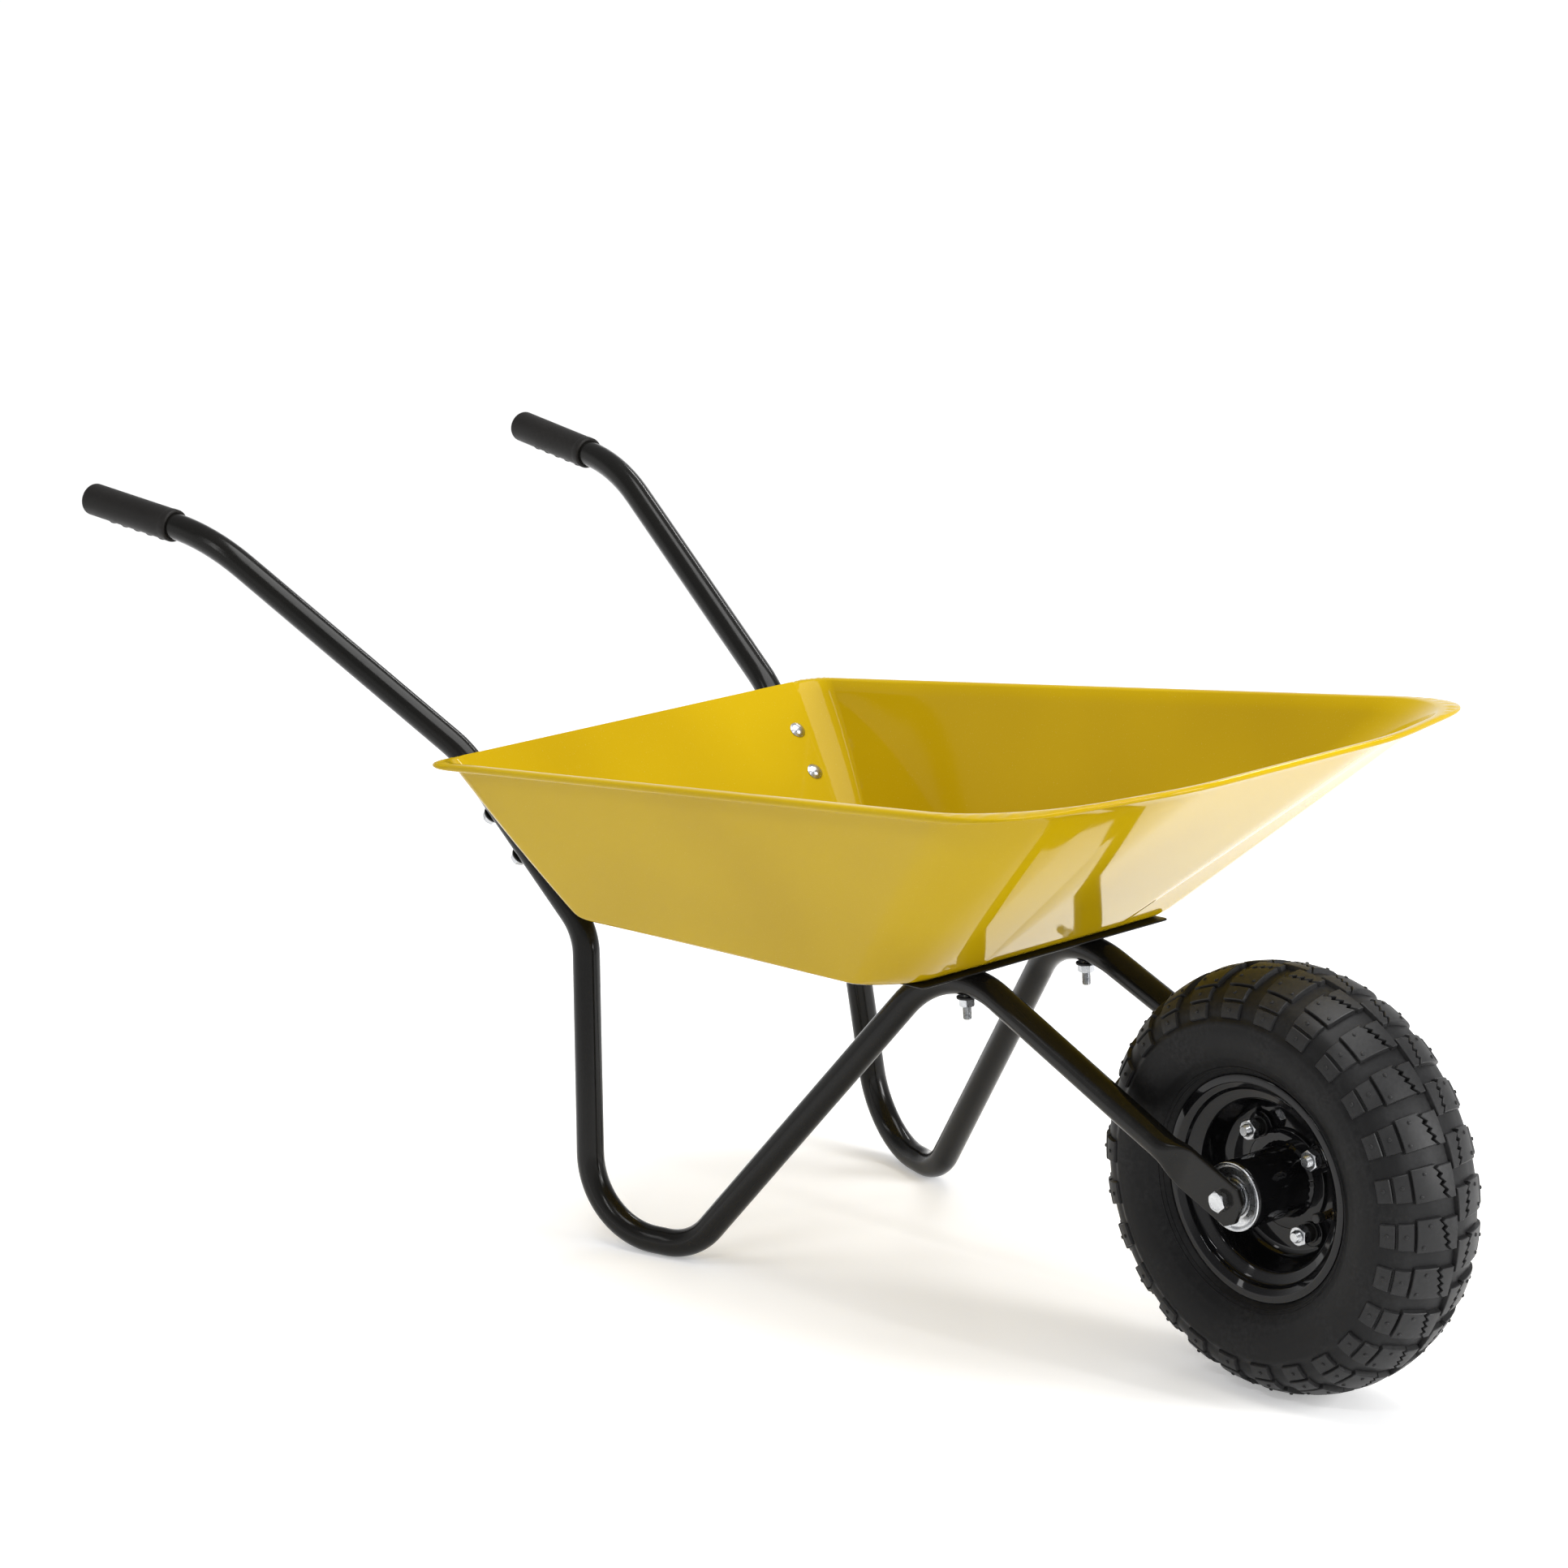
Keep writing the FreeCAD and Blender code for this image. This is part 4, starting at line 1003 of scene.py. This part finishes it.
SPACER_R = 9.0
SPACER_L = 8.0
SPACER_COLLAR_L = 1.8     # the wider end of each spacer
HUB_BOLT_TIP = 5.0
HUB_SHANK_L = 18.0
hub_bolts, hub_bushes, hub_nuts = Build(), Build(), Build()
hub_bolt_l = 2 * FLANGE_HIGH + SPACER_L + M10_NUT_L + HUB_BOLT_TIP
for index, angle in enumerate(HUB_BOLT_ANGLES):
    place = on_axle(0, HUB_BOLT_R, angle)
    head = place + Y_AXIS * (FLANGE_HIGH + 0.1)
    under_head = head + Y_AXIS * 0.1
    hexagon(hub_bolts, head, Y_AXIS, M10_FLATS, M10_HEAD_L, phase=0.4 * index)
    hub_bolts.spin(under_head, -Y_AXIS, [(M10_R, 0.0), (M10_R, HUB_SHANK_L)], 24, True)
    threaded(hub_bolts, under_head, -Y_AXIS, M10_R, HUB_SHANK_L, hub_bolt_l, M10_PITCH)
    bush = place - Y_AXIS * (FLANGE_HIGH + 0.1)
    washer(hub_bushes, bush, -Y_AXIS, M10_R + 0.4, SPACER_R, SPACER_COLLAR_L - 0.1)
    washer(hub_bushes, bush - Y_AXIS * SPACER_COLLAR_L, -Y_AXIS, M10_R + 0.4, SPACER_R - 1.2,
           SPACER_L - SPACER_COLLAR_L, 0.6)
    seat = place - Y_AXIS * (FLANGE_HIGH + SPACER_L + 0.2)
    hexagon(hub_nuts, seat, -Y_AXIS, M10_FLATS, M10_NUT_L, M10_R, 0.35 + 0.4 * index)
make("hub_bolt_set", hub_bolts, zinc, "wheel", ("hub_bolts",), 30.0)
make("hub_bush_set", hub_bushes, washer_black, "wheel", ("hub_spacers",))
make("hub_nut_set", hub_nuts, zinc, "wheel", ("hub_nuts",), 25.0)

# ---- wheel: valve --------------------------------------------------------
VALVE_ANGLE = math.radians(-9.0)
VALVE_R = 65.5
STEM_Y, CAP_Y = -12.5, -32.6
CAP_SIDES = 72
CAP_RIBS = 18
CAP_RIB_DEPTH = 0.22
STEM_SECTION = ((1.5, 0.0), (4.0, 0.0), (4.0, 8.0), (3.4, 9.5), (3.4, 20.0), (1.5, 20.0))
CAP_SECTION = ((0.05, 8.0), (3.6, 8.0), (4.35, 7.2), (4.35, 0.2), (3.5, 0.0), (0.05, 0.0))
stem = Build()
stem.spin(on_axle(STEM_Y, VALVE_R, VALVE_ANGLE), -Y_AXIS, rounded(STEM_SECTION, 0.3, True, 3), 32)
make("valve_stem_real", stem, brass, "wheel", ("valve_stem",))
cap_rows = []
for r, h in rounded(CAP_SECTION, 0.5, False, 3):
    rib = CAP_RIB_DEPTH if r > 4.2 else 0.0
    middle = on_axle(CAP_Y - h, VALVE_R, VALVE_ANGLE)
    row = []
    for a in angles(CAP_SIDES):
        ribbed_r = r - rib * (0.5 + 0.5 * math.cos(CAP_RIBS * a))
        row.append(middle + V((math.cos(a), 0, math.sin(a))) * ribbed_r)
    cap_rows.append(row)
make("valve_cap_ribbed", Build().tube(cap_rows), cap_plastic, "wheel", ("valve_cap",), 40.0)

# ---- wheel: tyre ---------------------------------------------------------
PITCHES = 26
TYRE_SIDES = 208
TYRE_ROWS = 70            # on each side of the middle
LUG_CROWN = 4.2
LUG_SIDE = 2.9
BEAD_RINGS = (7.0, 10.5)  # fine moulded rings, so far from the bead
RING_RISE = 0.55
BEAD_SWELL, BEAD_SWELL_AT = 0.35, 20.0


def arc_through(a, b, c, steps):
    """Points on the circle through three 2-D points, from the first to the last."""
    a, b, c = complex(*a), complex(*b), complex(*c)
    w = (c - a) / (b - a)
    centre = a + (b - a) * (w - abs(w) ** 2) / (2j * w.imag)
    sweep = cmath.phase((c - centre) / (a - centre))
    turned = [centre + (a - centre) * cmath.exp(1j * sweep * k / steps) for k in range(steps + 1)]
    return [(point.real, point.imag) for point in turned]


def half_section():
    """Crown to bead of the tyre's outside, as (radius, y)."""
    crown = arc_through((170.5, 41.0), (182.5, 0.0), (170.5, -41.0), 80)[:41][::-1]
    high = arc_through((170.5, 41.0), (156.75, 53.5), (140.0, 57.0), 40)
    low = arc_through((140.0, 57.0), (114.25, 54.0), (96.5, 41.0), 60)
    return crown + high[1:] + low[1:]


SECTION = half_section()
SECTION_S = [0.0]             # distance of each section point from the crown
for one, two in zip(SECTION, SECTION[1:]):
    SECTION_S.append(SECTION_S[-1] + math.hypot(two[0] - one[0], two[1] - one[1]))
BEAD_S = SECTION_S[-1]


def section_slope(k):
    """Direction of the section at one of its points."""
    return (V(SECTION[min(k + 1, len(SECTION) - 1)]) - V(SECTION[max(k - 1, 0)])).normalized()


def section_at(s):
    """Place and outward normal on the section, s millimetres from the crown towards +Y."""
    sign = 1.0 if s >= 0 else -1.0
    distance = min(abs(s), BEAD_S)
    low = min(bisect.bisect_right(SECTION_S, distance), len(SECTION) - 1) - 1
    t = (distance - SECTION_S[low]) / (SECTION_S[low + 1] - SECTION_S[low])
    r = lerp(SECTION[low][0], SECTION[low + 1][0], t)
    y = lerp(SECTION[low][1], SECTION[low + 1][1], t)
    run = lerp(section_slope(low), section_slope(low + 1), t).normalized()
    if distance < 0.01:
        run = V((0, 1))
    return r, y * sign, run.y, -run.x * sign


def lug_height(s):
    return lerp(LUG_CROWN, LUG_SIDE, smoothstep((abs(s) - 30.0) / 22.0))


def groove_depth(s):
    """How far the carcass lies below the tread's outside."""
    return lug_height(s) * (1 - smoothstep((abs(s) - 70.0) / 8.0))


def tyre_point(turn, s, depth):
    """A point on the tyre: turn in radians, s along the section, depth below the outside."""
    r, y, nr, ny = section_at(s)
    return on_axle(y - ny * depth, r - nr * depth, turn)


def carcass():
    """The tyre's body: the ground between the blocks, the plain side walls, the beads and the inside."""
    outward = [BEAD_S * k / TYRE_ROWS for k in range(1, TYRE_ROWS + 1)]
    for back in BEAD_RINGS:
        outward += [BEAD_S - back + d for d in (-1.0, -0.6, -0.3, 0.3, 0.6, 1.0)]
    rows = []
    for s in sorted([-m for m in outward] + [0.0] + outward):
        from_bead = BEAD_S - abs(s)
        ridge = RING_RISE if any(abs(from_bead - back) < 0.5 for back in BEAD_RINGS) else 0.0
        swell = BEAD_SWELL * math.exp(-((from_bead - BEAD_SWELL_AT) / 2.0) ** 2)
        depth = groove_depth(s) - ridge - swell
        rows.append([tyre_point(turn, s, depth) for turn in angles(TYRE_SIDES)])
    inside_run = [(96.0, 39.5), (93.0, 38.8), (88.5, 38.6), (88.5, 32.0), (92.0, 30.0), (100.0, 33.5),
                  (116.0, 46.0), (138.0, 50.0), (156.0, 45.0), (166.0, 32.0), (170.5, 14.0)]
    rows = axle_rows(inside_run, TYRE_SIDES, -1)[::-1] + rows + axle_rows(inside_run, TYRE_SIDES)
    return Build().loop(rows)


BLOCK_SINK = 0.4          # how far a block's skirt goes into the carcass
BLOCK_SOFT = 0.55         # how far its edge lies below its top


def lug(build, turn_of, s_of, us, vs, side, pips=()):
    """One raised block: turn_of(u) and s_of(u, v) give its plan, with a skirt and a softened edge."""
    n, m = len(us), len(vs)
    rows = []
    for i, u in enumerate(us):
        row = []
        for j, v in enumerate(vs):
            s = s_of(u, v)
            from_edge = min(i, n - 1 - i, j, m - 1 - j)
            depth = (groove_depth(s) + BLOCK_SINK, BLOCK_SOFT, 0.0)[min(from_edge, 2)]
            row.append(tyre_point(turn_of(u), s * side, depth))
        rows.append(row)
    start = build.rows(rows, False)
    loop = [start + k for k in range(m)] + [start + i * m + m - 1 for i in range(1, n)]
    loop += [start + (n - 1) * m + k for k in range(m - 2, -1, -1)]
    loop += [start + i * m for i in range(n - 2, 0, -1)]
    build.faces.append(tuple(reversed(loop)))
    for turn, s in pips:
        pip(build, turn, s * side)


PIP_R = 1.7
PIP_HIGH = 1.2
PIP_SHAPE = ((1.0, -0.5), (0.95, 0.45 * PIP_HIGH), (0.7, 0.85 * PIP_HIGH), (0.3, PIP_HIGH), (0.02, PIP_HIGH))


def pip(build, turn, s):
    """A small round moulded stud."""
    r, y, nr, ny = section_at(s)
    normal = V((math.cos(turn) * nr, ny, math.sin(turn) * nr)).normalized()
    build.spin(on_axle(y, r, turn), normal, [(PIP_R * part, h) for part, h in PIP_SHAPE], 14, True)


def spaced(low, high, skirt, edge, steps):
    """Positions across a block: skirt foot, top edge, softened edge, inside steps, and back."""
    span = high - low
    inner = [low + edge + (span - 2 * edge) * k / steps for k in range(steps + 1)]
    return [low - skirt, low] + inner + [high, high + skirt]


SHOULDER_OUT = 40.0
ROW_TWO = (42.8, 56.0)
ROW_ONE = (58.8, 72.0)
CENTRE_IN = 1.1                    # half the groove round the middle
SLIT_LOW, SLIT_HIGH = 10.4, 17.4   # the toothed slit slants across the block
SLIT_MM = 3.4
BLOCK_MM = 27.5
ROW_ONE_PART, ROW_TWO_PART = 0.78, 0.84      # the side rows' pieces are shorter than the shoulder's
TREAD_R, CROWN_R = 172.0, 180.0    # radii at which a block's length is measured
SHOULDER_W, CENTRE_W = 25.0, 11.0  # about how wide those blocks are
SKIRT = 0.7
EDGE = 0.6
TEETH = 4
TOOTH_MM = 3.6
TOOTH_RAMP = 0.72                  # the part of a tooth that its slow side takes


def saw(part):
    """Stepped teeth along a block's edge: a slow ramp and a quick return, 0 to 1."""
    place = (part * TEETH) % 1.0
    return place / TOOTH_RAMP if place < TOOTH_RAMP else (1 - place) / (1 - TOOTH_RAMP)


def slit_at(u):
    """Middle of the toothed slit at a place along a block."""
    part = max(0.0, min(1.0, u / BLOCK_MM + 0.5))
    return lerp(SLIT_LOW, SLIT_HIGH, part) + TOOTH_MM * (saw(part) - 0.5)


def tread():
    """Each pitch is one row of pieces on either side of the middle, with a plain band between pitches."""
    build = Build()
    half = BLOCK_MM / 2
    long_run = spaced(-half, half, SKIRT, EDGE, 8)
    fine_run = spaced(-half, half, SKIRT, EDGE, 40)
    shoulder_run = spaced(0.0, 1.0, SKIRT / SHOULDER_W, EDGE / SHOULDER_W, 7)
    centre_run = spaced(0.0, 1.0, SKIRT / CENTRE_W, EDGE / CENTRE_W, 5)
    for side in (-1, 1):
        for n in range(PITCHES):
            middle = 2 * math.pi * (n + (0.5 if side > 0 else 0.0)) / PITCHES
            for (low, high), part in ((ROW_ONE, ROW_ONE_PART), (ROW_TWO, ROW_TWO_PART)):
                lug(build, lambda u: middle + u * part / TREAD_R, lambda u, v: v, long_run,
                    spaced(low, high, SKIRT, EDGE, 4), side, ((middle + 0.004, (low + high) / 2),))
            lug(build, lambda u: middle + u / TREAD_R,
                lambda u, v: lerp(slit_at(u) + SLIT_MM / 2, SHOULDER_OUT, v), fine_run, shoulder_run, side,
                ((middle - 9.0 / TREAD_R, 34.5), (middle + 8.5 / TREAD_R, 29.0)))
            lug(build, lambda u: middle + (u - 1.5) / CROWN_R,
                lambda u, v: lerp(CENTRE_IN, slit_at(u) - SLIT_MM / 2, v), fine_run, centre_run, side)
    return build


make("tyre_carcass", carcass(), tyre_rubber, "wheel", ("tyre",), 60.0)
make("tyre_tread", tread(), lit_lug_rubber, "wheel", (), 30.0)

# ---- CAD nodes that stay -------------------------------------------------
for name, look in (("axle_sleeve", zinc), ("bearing_inner_races", steel), ("bearing_outer_races", steel),
                   ("bearing_balls", steel), ("inner_tube", tube_butyl)):
    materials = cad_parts[name].data.materials
    materials.clear()
    materials.append(look)

# ---- floor, light and camera, in metres ----------------------------------
FLOOR_R = 2.4
FLOOR_SIDES = 96
floor_mesh = bpy.data.meshes.new("floor")
floor_mesh.from_pydata([(FLOOR_R * math.cos(a), FLOOR_R * math.sin(a), 0) for a in angles(FLOOR_SIDES)], [],
                       [tuple(range(FLOOR_SIDES))])
floor = bpy.data.objects.new("floor", floor_mesh)
bpy.context.scene.collection.objects.link(floor)
floor_look = Shade("floor_pale", (0.86, 0.86, 0.86), 0.0, 0.75, Specular_IOR_Level=0.1,
                   Emission_Color=(1.0, 1.0, 1.0), Emission_Strength=0.30)
floor_look.color(floor_look.mix(floor_look.noise(1.2, 2.0), (0.85, 0.85, 0.85), (0.87, 0.87, 0.87)))
floor_mesh.materials.append(floor_look.mat)

scene = bpy.context.scene
scene.view_settings.view_transform = "Standard"
world = bpy.data.worlds.new("studio")
world.use_nodes = True
scene.world = world

# The backdrop is white up to the horizon all round, and the room above it is dimmer.
BACKDROP_WHITE = (1.0, 1.0, 1.0)
ROOM = (0.36, 0.36, 0.37)
WHITE_UP_TO, ROOM_FROM = 0.10, 0.50      # heights of the direction looked in
WORLD_STRENGTH = 1.03
sky = Nodes(world.node_tree)
direction = sky.node("ShaderNodeTexCoord", {}).outputs["Generated"]
height = sky.node("ShaderNodeSeparateXYZ", {0: direction}).outputs["Z"]
dimness = sky.range(height, WHITE_UP_TO, ROOM_FROM, interpolation_type="SMOOTHSTEP")
background = world.node_tree.nodes["Background"].inputs
sky.put(background["Color"], sky.mix(dimness, BACKDROP_WHITE, ROOM))
sky.put(background["Strength"], WORLD_STRENGTH)


def softbox(name, place, target, width, height, power):
    """A rectangular light aimed at a place; sizes in metres, power in watts."""
    light = bpy.data.lights.new(name, "AREA")
    light.shape = "RECTANGLE"
    light.size = width
    light.size_y = height
    light.energy = power
    obj = bpy.data.objects.new(name, light)
    scene.collection.objects.link(obj)
    obj.location = place
    aim = V(target) - V(place)
    obj.rotation_euler = aim.to_track_quat("-Z", "Y").to_euler()


softbox("top_box", (0.3, 0.1, 3.2), (0.1, 0.0, 0.3), 2.8, 2.4, 120)
softbox("front_box", (3.6, 1.2, 1.3), (0.3, 0.0, 0.3), 0.9, 1.6, 110)
softbox("side_box", (-1.6, -3.2, 2.4), (0.0, 0.0, 0.3), 0.3, 1.8, 10)
softbox("glint_strip_near", (1.5, -2.4, 2.5), (0.45, -0.05, 0.2), 1.3, 0.07, 17)
softbox("glint_strip_front", (2.9, 0.3, 1.9), (0.5, 0.0, 0.2), 0.07, 1.2, 14)
softbox("glint_strip_far", (-1.2, 2.6, 2.4), (0.0, 0.0, 0.3), 1.3, 0.16, 12)

CAMERA_AT = (3.22706, -2.96841, 1.54749)
LENS_MM, SHIFT_X, SHIFT_Y = 116.13, -0.0424, -0.0080
YAW, PITCH, ROLL = (math.radians(a) for a in (47.0996, -14.3189, -0.6159))
forward = V((-math.sin(YAW) * math.cos(PITCH), math.cos(YAW) * math.cos(PITCH), math.sin(PITCH)))
level = V((math.cos(YAW), math.sin(YAW), 0))
upright = level.cross(forward)
right = level * math.cos(ROLL) + upright * math.sin(ROLL)
up = upright * math.cos(ROLL) - level * math.sin(ROLL)
camera_data = bpy.data.cameras.new("camera")
camera_data.sensor_width = 36.0
camera_data.lens = LENS_MM
camera_data.shift_x = SHIFT_X
camera_data.shift_y = SHIFT_Y
camera_data.clip_end = 100.0
camera = bpy.data.objects.new("camera", camera_data)
scene.collection.objects.link(camera)
camera.matrix_world = Matrix(((right.x, up.x, -forward.x, CAMERA_AT[0]),
                              (right.y, up.y, -forward.y, CAMERA_AT[1]),
                              (right.z, up.z, -forward.z, CAMERA_AT[2]),
                              (0, 0, 0, 1)))
scene.camera = camera
